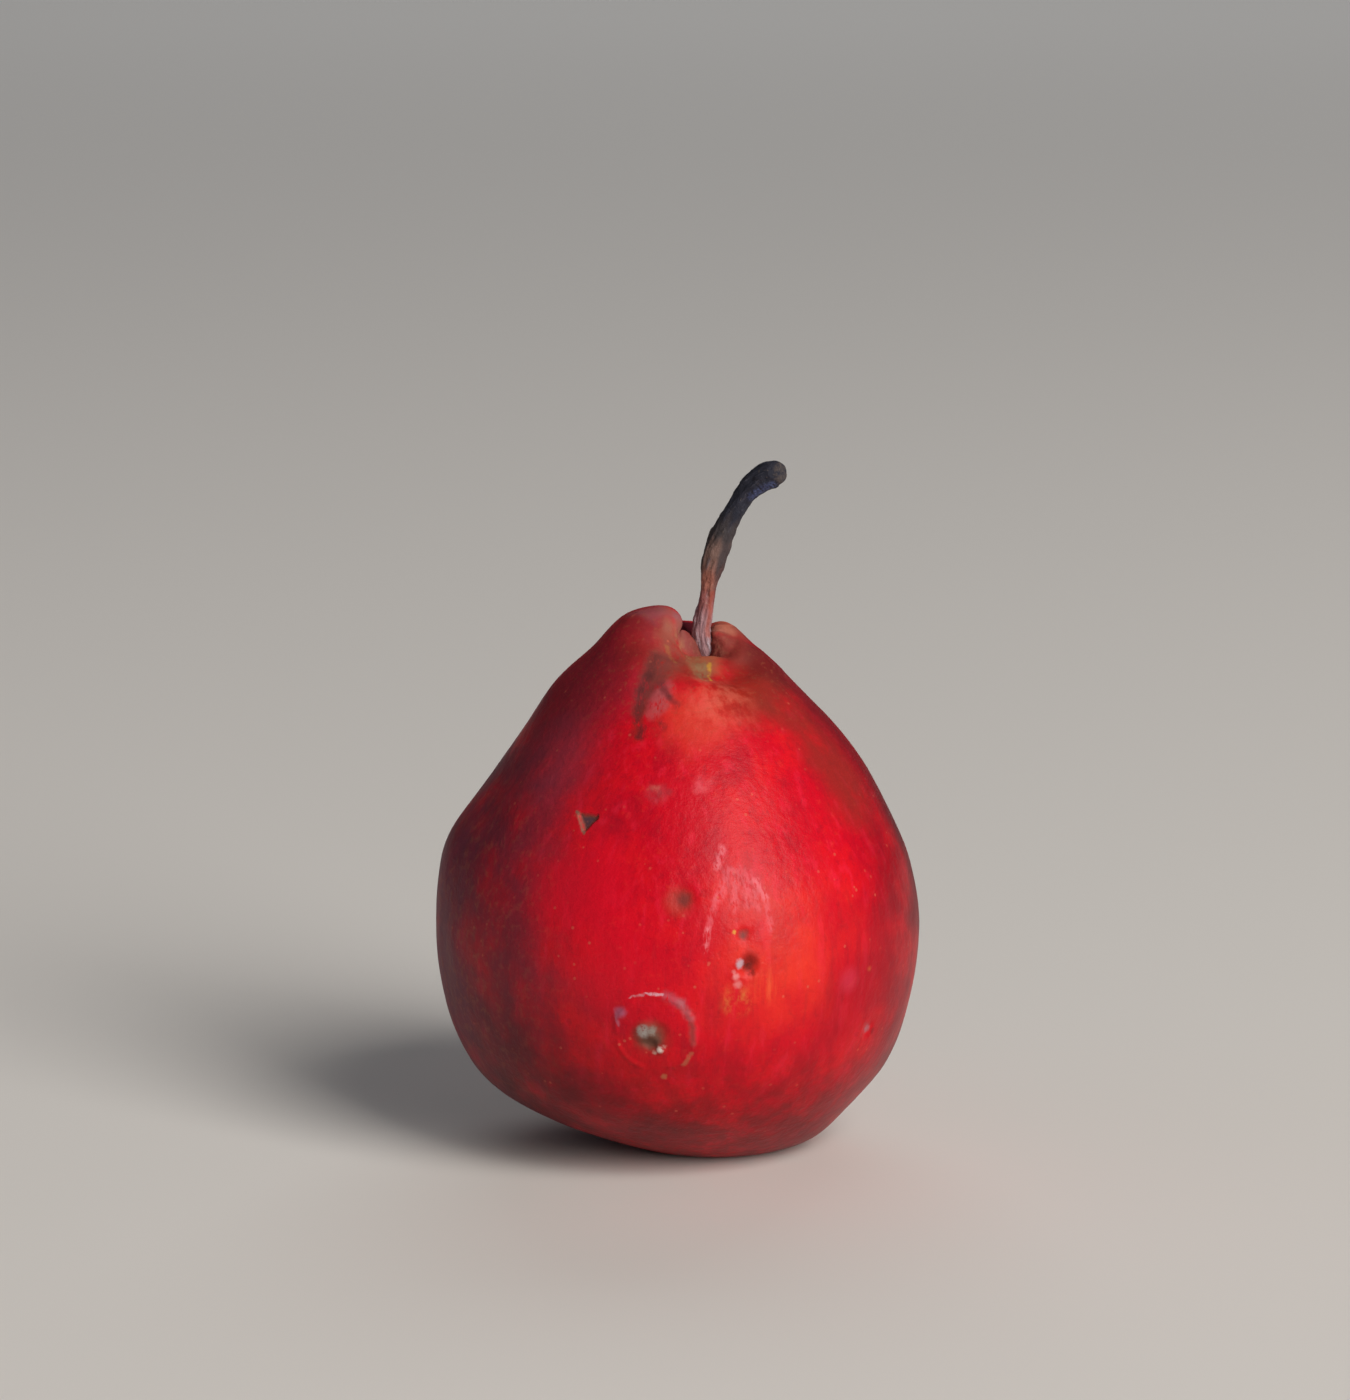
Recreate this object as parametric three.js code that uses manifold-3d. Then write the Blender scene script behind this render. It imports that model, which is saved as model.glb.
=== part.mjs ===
// A whole pear of a squat, short-necked red kind, standing on its base with its stem up.
// It is three grown pieces: the fruit, the woody stem that comes out of the hollow in its crown,
// and the calyx, the dried remains of the flower, in the basin under it.
// Millimetres, +Z up. The pear stands on z = 0 and its face looks along -Y.
import * as THREE from "three";
import { mergeVertices } from "three/addons/utils/BufferGeometryUtils.js";
import Module from "manifold-3d";

const wasm = await Module();
wasm.setup();

// ---------- Driving dimensions
const GIRTH = 74; // widest diameter of the fruit
const CROWN = 81; // height of the fruit before its lobes are drawn up
const FIT_GAP = 0.35; // clearance between two pieces that touch
const AROUND = 64; // facets round the fruit
const STEPS = 2; // rings between two stations of the fruit's outline

// ---------- Stem
const STEM_SIDES = 16;
const STEM_RINGS = 34;
const SOCKET_SHARE = 0.36; // share of the stem's length that the fruit stands clear of
const CUT_LENGTH = 4.5; // length of stem over which its cut end slopes
const CUT_SLOPE = -0.12;

// ---------- Calyx
const CALYX = { x: 5.8, z: 9.2 }; // middle of the cup's top, inside the fruit
const CUP = { radius: 2.5, depth: 4.2, mouth: 1.75, sides: 24 };
const SEPAL = { width: 3.2, thick: 0.75, root: 1.8, drop: 0.9, tip: 0.12, cupping: 0.16 };
const SEPALS = [
  { turn: 8, length: 6.4 },
  { turn: 76, length: 5.5 },
  { turn: 151, length: 6.1 },
  { turn: 219, length: 5.2 },
  { turn: 293, length: 5.9 },
];
const STAMENS = 6;
const STAMEN = { length: 3, radius: 0.33, spread: 1, tilt: -0.22 };

// The fruit's outline from the middle of the basin to the middle of the hollow.
// Each station is [share of half the girth, share of the crown's height].
const OUTLINE = [
  [0, 0.088],
  [0.045, 0.084],
  [0.1, 0.068],
  [0.16, 0.038],
  [0.22, 0.007],
  [0.28, -0.006],
  [0.345, 0.003],
  [0.485, 0.027],
  [0.68, 0.081],
  [0.832, 0.146],
  [0.935, 0.235],
  [0.985, 0.335],
  [1.0, 0.438],
  [0.955, 0.549],
  [0.865, 0.637],
  [0.738, 0.736],
  [0.562, 0.84],
  [0.41, 0.916],
  [0.29, 0.964],
  [0.21, 0.984],
  [0.15, 0.986],
  [0.108, 0.968],
  [0.082, 0.942],
  [0.045, 0.93],
  [0, 0.928],
];

// Each push takes hold of the skin within grip of its places and moves it, and the skin within
// reach of what is held follows, less and less with distance.
const PUSHES = [
  { name: "base_right", at: [[0, 0, 0]], grip: 13.5, reach: 21, move: [5.8, 0, 0] },
  { name: "hollow_right", at: [[0, 0, 77]], grip: 6.5, reach: 8, move: [3.6, -0.4, 0] },
  { name: "right_haunch_out", at: [[29, 0, 12]], grip: 2, reach: 12, move: [0.8, 0, -0.3] },
  { name: "left_flank_in", at: [[-27, -4, 61]], grip: 3, reach: 17, move: [0.9, 0, -0.6] },
  { name: "left_shoulder_out", at: [[-34, -2, 50]], grip: 3, reach: 13, move: [-1.1, 0, 0.2] },
  { name: "right_flank_out", at: [[28, 0, 58]], grip: 3, reach: 15, move: [0.5, 0, 0.2] },
  { name: "neck_left", at: [[-18.5, 0, 72], [18.5, 0, 72]], grip: 2, reach: 8, move: [-0.8, 0, 0] },
  { name: "front_lip_down", at: [[5.2, -7, 79]], grip: 2.8, reach: 9, move: [0, 0, -4.4] },
  { name: "back_lip_down", at: [[10, 6, 80]], grip: 2, reach: 7, move: [-0.4, 0, -1.6] },
  { name: "right_lip_in", at: [[9.4, -0.5, 79]], grip: 2, reach: 4.5, move: [-1.6, 0, -0.5] },
  { name: "right_neck_out", at: [[12, 0, 77]], grip: 1.6, reach: 5, move: [0.4, 0, 0.7] },
  { name: "right_lobe_up", at: [[6.8, 3, 79]], grip: 1.6, reach: 4.5, move: [-0.2, -0.6, 1.2] },
  { name: "left_lobe_up", at: [[-5, -1, 80]], grip: 3, reach: 7, move: [-0.7, -0.4, 2.8] },
  { name: "left_lobe_lean", at: [[-0.6, -1.6, 81.5]], grip: 1.7, reach: 3.8, move: [1.7, -0.4, 0.8] },
  {
    name: "furrow",
    at: [
      [-1.9, -8.1, 77.4],
      [-3.1, -12.1, 75.9],
      [-4.1, -14.3, 73.9],
      [-4.8, -16.3, 72],
      [-5.6, -18.1, 70.1],
    ],
    grip: 1.3,
    reach: 3.4,
    move: [0.1, 0.5, -0.5],
  },
  { name: "notch", at: [[2.4, 5, 80]], grip: 1.6, reach: 3.2, move: [0, 0.3, -0.7] },
  { name: "collar_right", at: [[5, -1.6, 75.2], [6.9, -0.4, 75.5]], grip: 1.4, reach: 2.4, move: [0, 0, 0.9] },
  { name: "collar_left", at: [[1.6, -1, 75]], grip: 1, reach: 2.6, move: [0, 0, 2] },
  { name: "collar_front", at: [[4, -3.2, 73.8]], grip: 1.8, reach: 3, move: [0, 0, 1.2] },
  { name: "right_crest", at: [[8.4, 2.4, 78.6]], grip: 1.6, reach: 3.2, move: [0, 0, 0.45] },
  { name: "right_slope", at: [[13, 1, 76]], grip: 1.6, reach: 4, move: [0, 0, -0.45] },
  { name: "lobe_lean", at: [[-1.2, -1.2, 82.3]], grip: 1.4, reach: 3.2, move: [0.6, 0, 0.35] },
  { name: "left_fill", at: [[1.6, -1.6, 77]], grip: 1, reach: 2.4, move: [0, 0, 2] },
  { name: "right_fill", at: [[6.5, -0.6, 76.5]], grip: 1, reach: 2.2, move: [-0.2, -0.2, 1] },
  { name: "right_wall", at: [[6.6, 0.2, 78], [6.8, 1, 78.5]], grip: 1, reach: 2, move: [-0.7, -0.3, 0.2] },
];

// The stem's axis, from its root in the fruit to its cut end.
const STEM_PATH = [
  [5.3, 0.5, 69.8],
  [5.2, 0.4, 73],
  [4.2, 0.2, 76],
  [3.6, 0, 78.8],
  [3.9, 0, 81],
  [4.45, 0, 83.9],
  [4.85, -0.2, 86.8],
  [5.5, -0.4, 89.9],
  [6.45, -0.7, 93],
  [7.75, -1.1, 95.9],
  [9, -1.4, 98.2],
  [10.7, -1.9, 100.8],
  [12.3, -2.2, 102.2],
  [14, -2.7, 103.2],
  [15.4, -3.3, 103.5],
];

// Half thickness of the stem: [share of its length, radius].
const STEM_GIRTHS = [
  [0, 1.3],
  [0.05, 1.5],
  [0.13, 1.58],
  [0.18, 1.62],
  [0.24, 1.55],
  [0.3, 1.42],
  [0.35, 1.27],
  [0.4, 1.2],
  [0.435, 1.3],
  [0.46, 1.52],
  [0.5, 1.82],
  [0.54, 1.9],
  [0.6, 1.88],
  [0.68, 1.74],
  [0.76, 1.58],
  [0.83, 1.62],
  [0.89, 1.95],
  [0.945, 2.22],
  [0.975, 2.08],
  [1, 1.65],
];

// The rounded face of the stem's broken end: [radius, height past the stem's last ring].
const CUT_FACE = [
  [1.4, 0.4],
  [1.05, 0.52],
  [0.5, 0.44],
  [0, 0.42],
];

const soft = (t) => 3 * t * t - 2 * t * t * t; // eases from 0 at the reach's edge to 1 at the grip

// Merges a geometry's shared vertices and drops the faces that have no area.
function closed(geometry) {
  const bare = geometry.clone();
  bare.deleteAttribute("normal");
  bare.deleteAttribute("uv");
  const merged = mergeVertices(bare, 1e-4);
  const old = merged.index.array;
  const kept = [];
  for (let i = 0; i < old.length; i += 3) {
    const [a, b, c] = [old[i], old[i + 1], old[i + 2]];
    if (a !== b && b !== c && c !== a) kept.push(a, b, c);
  }
  merged.setIndex(kept);
  return merged;
}

function solid(geometry) {
  const merged = closed(geometry);
  return new wasm.Manifold(
    new wasm.Mesh({
      numProp: 3,
      vertProperties: merged.attributes.position.array,
      triVerts: new Uint32Array(merged.index.array),
    }),
  );
}

function geometryOf(manifold) {
  const mesh = manifold.getMesh();
  return new THREE.BufferGeometry()
    .setAttribute("position", new THREE.BufferAttribute(mesh.vertProperties, 3))
    .setIndex(new THREE.BufferAttribute(mesh.triVerts, 1));
}

// Runs a change over every vertex of a geometry.
function reshape(geometry, change) {
  const places = geometry.attributes.position;
  const p = new THREE.Vector3();
  for (let i = 0; i < places.count; i++) {
    p.fromBufferAttribute(places, i);
    change(p);
    places.setXYZ(i, p.x, p.y, p.z);
  }
  return geometry;
}

// A profile of [radius, height] turned round the Z axis.
function turned(profile, sides) {
  const points = profile.map(([r, h]) => new THREE.Vector2(r, h));
  return new THREE.LatheGeometry(points, sides).rotateX(Math.PI / 2);
}

// ---------- The fruit
function push(geometry, { at, grip, reach, move }) {
  const places = geometry.attributes.position;
  const middles = at.map((one) => new THREE.Vector3(...one));
  const vertex = (_, i) => new THREE.Vector3().fromBufferAttribute(places, i);
  const skin = Array.from({ length: places.count }, vertex);
  const held = skin.filter((p) => middles.some((m) => p.distanceTo(m) <= grip));
  const step = new THREE.Vector3(...move);
  return reshape(geometry, (p) => {
    const away = Math.min(...held.map((h) => h.distanceTo(p)));
    if (away < reach) p.addScaledVector(step, soft(1 - away / reach));
  });
}

function fruitSkin() {
  const stations = OUTLINE.map(([r, h]) => new THREE.Vector2((r * GIRTH) / 2, h * CROWN));
  const rings = new THREE.SplineCurve(stations).getPoints((OUTLINE.length - 1) * STEPS);
  const fruit = closed(turned(rings.map((p) => [p.x, p.y]), AROUND));
  for (const one of PUSHES) push(fruit, one);
  return reshape(fruit, (p) => {
    p.z = Math.max(p.z, 0);
  });
}

// ---------- The stem
const stemPath = new THREE.CatmullRomCurve3(STEM_PATH.map((p) => new THREE.Vector3(...p)));
const STEM_LENGTH = stemPath.getLength();

// Bends a piece turned round Z so that its axis follows the stem's path.
function alongStem(geometry) {
  const back = new THREE.Vector3(0, 1, 0);
  return reshape(geometry, (p) => {
    const nearEnd = THREE.MathUtils.clamp((p.z - STEM_LENGTH + CUT_LENGTH) / CUT_LENGTH, 0, 1);
    const share = (p.z + CUT_SLOPE * p.x * nearEnd) / STEM_LENGTH;
    const onPath = THREE.MathUtils.clamp(share, 0, 1);
    const ahead = stemPath.getTangentAt(onPath);
    const side = new THREE.Vector3().crossVectors(back, ahead).normalize();
    const depth = new THREE.Vector3().crossVectors(ahead, side);
    const place = stemPath.getPointAt(onPath);
    place.addScaledVector(ahead, (share - onPath) * STEM_LENGTH);
    place.addScaledVector(side, p.x);
    place.addScaledVector(depth, p.y);
    p.copy(place);
  });
}

// The stem's sides from its root up to a share of its length, grown outwards by a margin.
function stemSides(upTo, margin) {
  const stations = STEM_GIRTHS.map(([s, r]) => new THREE.Vector2(r + margin, s * STEM_LENGTH));
  const rings = new THREE.SplineCurve(stations).getPoints(STEM_RINGS);
  return rings.filter((p) => p.y <= upTo * STEM_LENGTH).map((p) => [p.x, p.y]);
}

function stemBody() {
  const end = CUT_FACE.map(([r, h]) => [r, STEM_LENGTH + h]);
  return alongStem(turned([[0, 0], ...stemSides(1, 0), ...end], STEM_SIDES));
}

// What is taken out of the fruit round the stem's root.
function stemSocket() {
  const sides = stemSides(SOCKET_SHARE, FIT_GAP);
  const [foot, top] = [-FIT_GAP, sides.at(-1)[1]];
  return alongStem(turned([[0, foot], [sides[0][0], foot], ...sides, [0, top]], STEM_SIDES));
}

// ---------- The calyx
// A dried sepal: a pointed blade that bends down and outwards, with its edges curled up.
function sepal({ turn, length }) {
  const blade = new THREE.BoxGeometry(length, SEPAL.width, SEPAL.thick, 8, 4, 1);
  reshape(blade, (p) => {
    const t = THREE.MathUtils.clamp(p.x / length + 0.5, 0, 1);
    const across = p.y * (SEPAL.tip + Math.pow(1 - t, 0.7));
    const curl = SEPAL.cupping * across * across;
    const lean = 0.25 + 1.15 * t; // the blade turns from hanging to level as it goes out
    const out = length * (0.1 * t + 0.45 * t * t) + p.z * Math.cos(lean);
    const down = length * (0.95 * t - 0.3 * t * t) - p.z * Math.sin(lean);
    p.set(SEPAL.root + out - curl / 2, across, SEPAL.drop - down + curl);
  });
  return solid(blade.rotateZ(THREE.MathUtils.degToRad(turn)).translate(0, 0, -CUP.depth));
}

function stamen(angle) {
  const rod = new THREE.CylinderGeometry(STAMEN.radius, STAMEN.radius * 1.3, STAMEN.length, 8);
  rod.rotateX(-Math.PI / 2).rotateY(STAMEN.tilt);
  return solid(rod.translate(STAMEN.spread, 0, SEPAL.drop - CUP.depth).rotateZ(angle));
}

function calyxBody() {
  const cup = [
    [0, -CUP.depth + 1.8],
    [CUP.mouth * 0.85, -CUP.depth + 1.6],
    [CUP.mouth, -CUP.depth],
    [CUP.radius, -CUP.depth],
    [CUP.radius, -0.6],
    [CUP.radius - 0.6, 0],
    [0, 0],
  ];
  const stamens = Array.from({ length: STAMENS }, (_, i) => stamen((i * 2 * Math.PI) / STAMENS));
  return wasm.Manifold.union([solid(turned(cup, CUP.sides)), ...SEPALS.map(sepal), ...stamens]);
}

// What is taken out of the fruit round the calyx's cup, from the floor up.
function calyxSocket() {
  const [radius, top] = [CUP.radius + FIT_GAP, CALYX.z + FIT_GAP];
  return turned([[0, 0], [radius, 0], [radius, top], [0, top]], CUP.sides).translate(CALYX.x, 0, 0);
}

// ---------- Assembly
const skin = solid(fruitSkin());
const flesh = skin.subtract(solid(stemSocket())).subtract(solid(calyxSocket()));
const calyx = calyxBody().translate(CALYX.x, 0, CALYX.z);

function part(name, geometry, color, roughness) {
  const material = new THREE.MeshStandardMaterial({ color, roughness, metalness: 0 });
  const mesh = new THREE.Mesh(geometry, material);
  mesh.name = name;
  return mesh;
}

const pear = new THREE.Group();
pear.name = "pear";
pear.add(part("fruit", geometryOf(flesh), 0xb5121f, 0.42));
pear.add(part("stem", closed(stemBody()), 0x8a7468, 0.8));
pear.add(part("calyx", geometryOf(calyx), 0x4a3526, 0.9));

export default pear;
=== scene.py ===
# %% [markdown]
# # A red pear
# A pear is one grown fruit with two dry leftovers on it: the woody stem that held it to the tree,
# and the calyx, what is left of the flower, in the basin under it. This notebook makes all three
# round a packed engineering model, which says how large each one is and where it stays. It then
# gives them skin, bark and dried leaf, and stands the pear on a pale floor in soft light.
#
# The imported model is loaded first, and its box is kept, so that the finished pear can be measured
# against it at the end. Everything is in metres, with +Z up and the pear's face along -Y.

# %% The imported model
import math

import bmesh
import bpy
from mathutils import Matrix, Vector


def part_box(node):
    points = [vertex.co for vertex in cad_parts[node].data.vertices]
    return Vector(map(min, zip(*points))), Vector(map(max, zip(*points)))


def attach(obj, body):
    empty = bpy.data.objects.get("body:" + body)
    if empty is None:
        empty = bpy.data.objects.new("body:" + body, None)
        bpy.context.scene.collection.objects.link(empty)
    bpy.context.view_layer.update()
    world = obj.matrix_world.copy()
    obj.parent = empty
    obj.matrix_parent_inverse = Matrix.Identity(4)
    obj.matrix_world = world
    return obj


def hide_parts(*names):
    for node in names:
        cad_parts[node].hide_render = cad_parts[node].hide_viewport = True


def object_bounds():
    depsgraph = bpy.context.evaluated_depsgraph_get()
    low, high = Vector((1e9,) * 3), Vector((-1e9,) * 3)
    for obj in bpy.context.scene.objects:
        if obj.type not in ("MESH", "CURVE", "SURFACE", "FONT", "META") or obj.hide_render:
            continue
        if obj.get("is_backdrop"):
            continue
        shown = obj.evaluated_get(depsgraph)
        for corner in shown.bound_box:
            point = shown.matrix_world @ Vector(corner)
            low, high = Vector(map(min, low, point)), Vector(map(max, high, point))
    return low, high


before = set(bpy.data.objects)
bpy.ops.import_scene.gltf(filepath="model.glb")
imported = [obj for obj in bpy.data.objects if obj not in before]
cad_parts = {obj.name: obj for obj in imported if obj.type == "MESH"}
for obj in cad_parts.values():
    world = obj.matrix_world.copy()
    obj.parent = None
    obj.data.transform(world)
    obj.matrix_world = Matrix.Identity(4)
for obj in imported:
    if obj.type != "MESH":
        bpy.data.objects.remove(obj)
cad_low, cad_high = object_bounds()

MM = 0.001
print("nodes:", sorted(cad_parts))
print("box of the packed model, mm:", [round(c / MM, 2) for c in (*cad_low, *cad_high)])

# %% [markdown]
# ## The fruit's outline
# A pear is nearly a turned shape, so it starts as the outline of half its section, from the middle
# of the basin underneath to the middle of the hollow on top. The stations are given as shares of
# half the girth and of the crown's height, and a smooth curve through them gives the rings in
# between. A curve object could be turned instead, but a chain of extruded points keeps each ring
# where it is wanted, and the rings are what gets pushed about later.

# %% The outline's stations
GIRTH = 74 * MM
CROWN = 81 * MM
STEPS = 2
OUTLINE = [
    (0, 0.088), (0.045, 0.084), (0.1, 0.068), (0.16, 0.038), (0.22, 0.007), (0.28, -0.006),
    (0.345, 0.003), (0.485, 0.027), (0.68, 0.081), (0.832, 0.146), (0.935, 0.235), (0.985, 0.335),
    (1.0, 0.438), (0.955, 0.549), (0.865, 0.637), (0.738, 0.736), (0.562, 0.84), (0.41, 0.916),
    (0.29, 0.964), (0.21, 0.984), (0.15, 0.986), (0.108, 0.968), (0.082, 0.942), (0.045, 0.93),
    (0, 0.928),
]


def smooth_chain(stations, steps):
    """Points on a smooth curve through the stations, with steps between each pair of them."""
    points = [Vector(s) for s in stations]
    last = len(points) - 1
    chain = []
    for i in range(last):
        before, here = points[max(i - 1, 0)], points[i]
        there, after = points[i + 1], points[min(i + 2, last)]
        leave, arrive = (there - before) / 2, (after - here) / 2
        for k in range(steps):
            t = k / steps
            chain.append(
                (2 * here - 2 * there + leave + arrive) * t**3
                + (3 * there - 3 * here - 2 * leave - arrive) * t**2
                + leave * t
                + here
            )
    return chain + [points[-1]]


rings = smooth_chain([(r * GIRTH / 2, h * CROWN) for r, h in OUTLINE], STEPS)
print(len(rings), "rings from", round(rings[0].y / MM, 1), "to", round(rings[-1].y / MM, 1), "mm up")

# %% [markdown]
# ## Turning the fruit
# A plane's corners are merged to leave one point, the point is extruded along the outline, and
# the chain is spun round the upright axis. Spinning leaves the first and last column on top of
# each other, and a ring of points at each pole, so doubles are merged before the faces are turned
# outwards.

# %% Turn the outline
AROUND = 64
SAME_POINT = 0.01  # points nearer than this, in mm, are merged


def start_mesh(name, add, **settings):
    """A new primitive with everything else deselected, left in edit mode."""
    bpy.ops.object.select_all(action="DESELECT")
    add(**settings)
    made = bpy.context.active_object
    made.name = made.data.name = name
    bpy.ops.object.mode_set(mode="EDIT")
    return made


def extrude_to(step):
    bpy.ops.mesh.extrude_region_move(TRANSFORM_OT_translate={"value": tuple(step)})


fruit = start_mesh("pear_fruit", bpy.ops.mesh.primitive_plane_add, size=MM)
bpy.ops.mesh.merge(type="CENTER")
bpy.ops.transform.translate(value=(rings[0].x, 0, rings[0].y))
for here, there in zip(rings, rings[1:]):
    extrude_to((there.x - here.x, 0, there.y - here.y))
bpy.ops.mesh.select_all(action="SELECT")
bpy.ops.mesh.spin(steps=AROUND, angle=math.tau, center=(0, 0, 0), axis=(0, 0, 1))
bpy.ops.mesh.select_all(action="SELECT")
bpy.ops.mesh.remove_doubles(threshold=SAME_POINT * MM)
bpy.ops.mesh.normals_make_consistent(inside=False)
bpy.ops.object.mode_set(mode="OBJECT")
print("turned fruit:", len(fruit.data.vertices), "points,", len(fruit.data.polygons), "faces")

# %% [markdown]
# ## Pushing it out of true
# No pear is a turned shape for long. Its base leans one way, its shoulder another, and lobes rise
# round the hollow that holds the stem. Each push takes hold of the skin within a grip of a place
# and moves it, and proportional editing lets the skin within reach follow, less and less with
# distance. It is the modeller's own way of shaping soft forms, and it leaves no seam.

# %% The pushes
PUSHES = [  # name, places, grip, reach, move, all in mm
    ("base_right", [(0, 0, 0)], 13.5, 21, (5.8, 0, 0)),
    ("hollow_right", [(0, 0, 77)], 6.5, 8, (3.6, -0.4, 0)),
    ("right_haunch_out", [(29, 0, 12)], 2, 12, (0.8, 0, -0.3)),
    ("left_flank_in", [(-27, -4, 61)], 3, 17, (0.9, 0, -0.6)),
    ("left_shoulder_out", [(-34, -2, 50)], 3, 13, (-1.1, 0, 0.2)),
    ("right_flank_out", [(28, 0, 58)], 3, 15, (0.5, 0, 0.2)),
    ("neck_left", [(-18.5, 0, 72), (18.5, 0, 72)], 2, 8, (-0.8, 0, 0)),
    ("front_lip_down", [(5.2, -7, 79)], 2.8, 9, (0, 0, -4.4)),
    ("back_lip_down", [(10, 6, 80)], 2, 7, (-0.4, 0, -1.6)),
    ("right_lip_in", [(9.4, -0.5, 79)], 2, 4.5, (-1.6, 0, -0.5)),
    ("right_neck_out", [(12, 0, 77)], 1.6, 5, (0.4, 0, 0.7)),
    ("right_lobe_up", [(6.8, 3, 79)], 1.6, 4.5, (-0.2, -0.6, 1.2)),
    ("left_lobe_up", [(-5, -1, 80)], 3, 7, (-0.7, -0.4, 2.8)),
    ("left_lobe_lean", [(-0.6, -1.6, 81.5)], 1.7, 3.8, (1.7, -0.4, 0.8)),
    (
        "furrow",
        [
            (-1.9, -8.1, 77.4), (-3.1, -12.1, 75.9), (-4.1, -14.3, 73.9), (-4.8, -16.3, 72),
            (-5.6, -18.1, 70.1),
        ],
        1.3, 3.4, (0.1, 0.5, -0.5),
    ),
]


def take(piece):
    """Selects one piece alone, so that operators act on nothing else."""
    bpy.ops.object.select_all(action="DESELECT")
    piece.select_set(True)
    bpy.context.view_layer.objects.active = piece


def open_mesh(piece):
    take(piece)
    bpy.ops.object.mode_set(mode="EDIT")


def hold(piece, test):
    """Selects the points of an open mesh that pass a test of their place, and counts them."""
    mesh = bmesh.from_edit_mesh(piece.data)
    bpy.ops.mesh.select_mode(type="VERT")
    for v in mesh.verts:
        v.select = test(v.co)
    mesh.select_flush_mode()
    bmesh.update_edit_mesh(piece.data)
    return sum(v.select for v in mesh.verts)


def near(places, grip):
    """A test that passes within a grip of any of some places, all in mm."""
    middles = [Vector(p) * MM for p in places]
    return lambda co: any((co - m).length <= grip * MM for m in middles)


def push(piece, test, reach, move):
    """Moves the points that pass a test, and draws what is within reach after them."""
    held = hold(piece, test)
    if held:
        bpy.ops.transform.translate(
            value=tuple(c * MM for c in move),
            use_proportional_edit=True,
            proportional_edit_falloff="SMOOTH",
            proportional_size=reach * MM,
        )
    return held


def push_all(piece, pushes):
    for name, places, grip, reach, move in pushes:
        print(name, "holds", push(piece, near(places, grip), reach, move), "points")


open_mesh(fruit)
push_all(fruit, PUSHES)
sunk = hold(fruit, lambda co: co.z < 0)
bpy.ops.transform.resize(value=(1, 1, 0), center_override=(0, 0, 0))
bpy.ops.object.mode_set(mode="OBJECT")
print("the base is flattened at", sunk, "points")


# %% Smooth it
def finish_with(piece, kind, **settings):
    """Adds a modifier, sets it and applies it."""
    take(piece)
    made = piece.modifiers.new(kind.title(), kind)
    for key, value in settings.items():
        setattr(made, key, value)
    bpy.ops.object.modifier_apply(modifier=made.name)


def lumps(name, size):
    """A cloudy texture for Displace, with lumps of a size in mm."""
    made = bpy.data.textures.new(name, "CLOUDS")
    made.noise_scale, made.noise_depth = size * MM, 2
    return made


finish_with(fruit, "SUBSURF", levels=2, render_levels=2)
print("smoothed fruit:", len(fruit.data.polygons), "faces")
print("its box, mm", [round(c / MM, 2) for c in fruit.dimensions])

# %% [markdown]
# ## Skin that is never quite even
# Flesh swells by different amounts from place to place. Two clouds, one broad and one of the size
# of a pea, move the skin in and out by fractions of a millimetre. The ring the pear stands on is
# kept out of a vertex group, so that it stays flat on the floor.

# %% Uneven skin
STANDING_RING = 1.2  # how far up the flat ring reaches, in mm
SWELLINGS = ((15, 0.34), (4.5, 0.09))  # breadth and height of the lumps, in mm
SKIN_STILL = 0.56  # level of a cloud that moves nothing; above a half, the skin sinks a little

open_mesh(fruit)
hold(fruit, lambda co: co.z > STANDING_RING * MM)
fruit.vertex_groups.new(name="loose")
bpy.ops.object.vertex_group_assign()
bpy.ops.object.mode_set(mode="OBJECT")
for size, strength in SWELLINGS:
    finish_with(
        fruit, "DISPLACE", texture=lumps("swellings", size), texture_coords="LOCAL",
        vertex_group="loose", strength=strength * MM, mid_level=SKIN_STILL,
    )
print("box after swelling, mm", [round(c / MM, 2) for c in fruit.dimensions])

# %% [markdown]
# ## Folds round the stem's foot
# The flesh closes round the foot of the stem in folds: a low collar in front, walls that lean in
# from both lobes, and a notch between them behind. They are smaller than the faces that the first
# pushes moved, so they are pushed up on the smoothed mesh, and the creases that this leaves are
# relaxed.

# %% Folds
FOLDS = [  # name, places, grip, reach, move, all in mm
    ("notch", [(2.4, 5, 80)], 1.4, 3.2, (0, 0.3, -0.7)),
    ("collar", [(5, -1.6, 75.2), (6.9, -0.4, 75.5)], 1.4, 2.4, (0, 0, 0.9)),
    ("collar_left", [(1.6, -1, 75)], 0.7, 2.6, (0, 0, 2.2)),
    ("collar_front", [(4, -3.2, 73.8)], 1.8, 3, (0, 0, 1.2)),
    ("collar_right", [(6.3, -1.4, 75.5)], 0.5, 1.6, (0, 0, 0.9)),
    ("lobe_side", [(0.5, -1.5, 79.5)], 0.8, 2, (0.4, 0, 0)),
    ("right_crest", [(8.4, 2.4, 78.6)], 1.4, 3.2, (0, 0, 0.45)),
    ("right_slope", [(13, 1, 76)], 1.2, 4, (0, 0, -0.45)),
    ("lobe_lean", [(-1.2, -1.2, 82.3)], 1.2, 3.2, (0.6, 0, 0.35)),
    ("left_fill", [(1.6, -1.6, 77)], 0.9, 2.4, (0, 0, 2.2)),
    ("right_fill", [(6.5, -0.6, 76.5)], 0.8, 2.2, (-0.2, -0.2, 1.2)),
    ("right_wall", [(6.6, 0.2, 78), (6.8, 1, 78.5)], 0.8, 2, (-1.3, -0.5, 0.2)),
]
SMOOTHED = [  # name, middle, radius, rounds of smoothing
    ("lip", (7.5, -8, 74.5), 3.5, 12),
    ("left fold", (0.7, -2.4, 77.6), 2.5, 10),
    ("right fold", (6.8, -0.6, 77), 1.8, 4),
]

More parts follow.
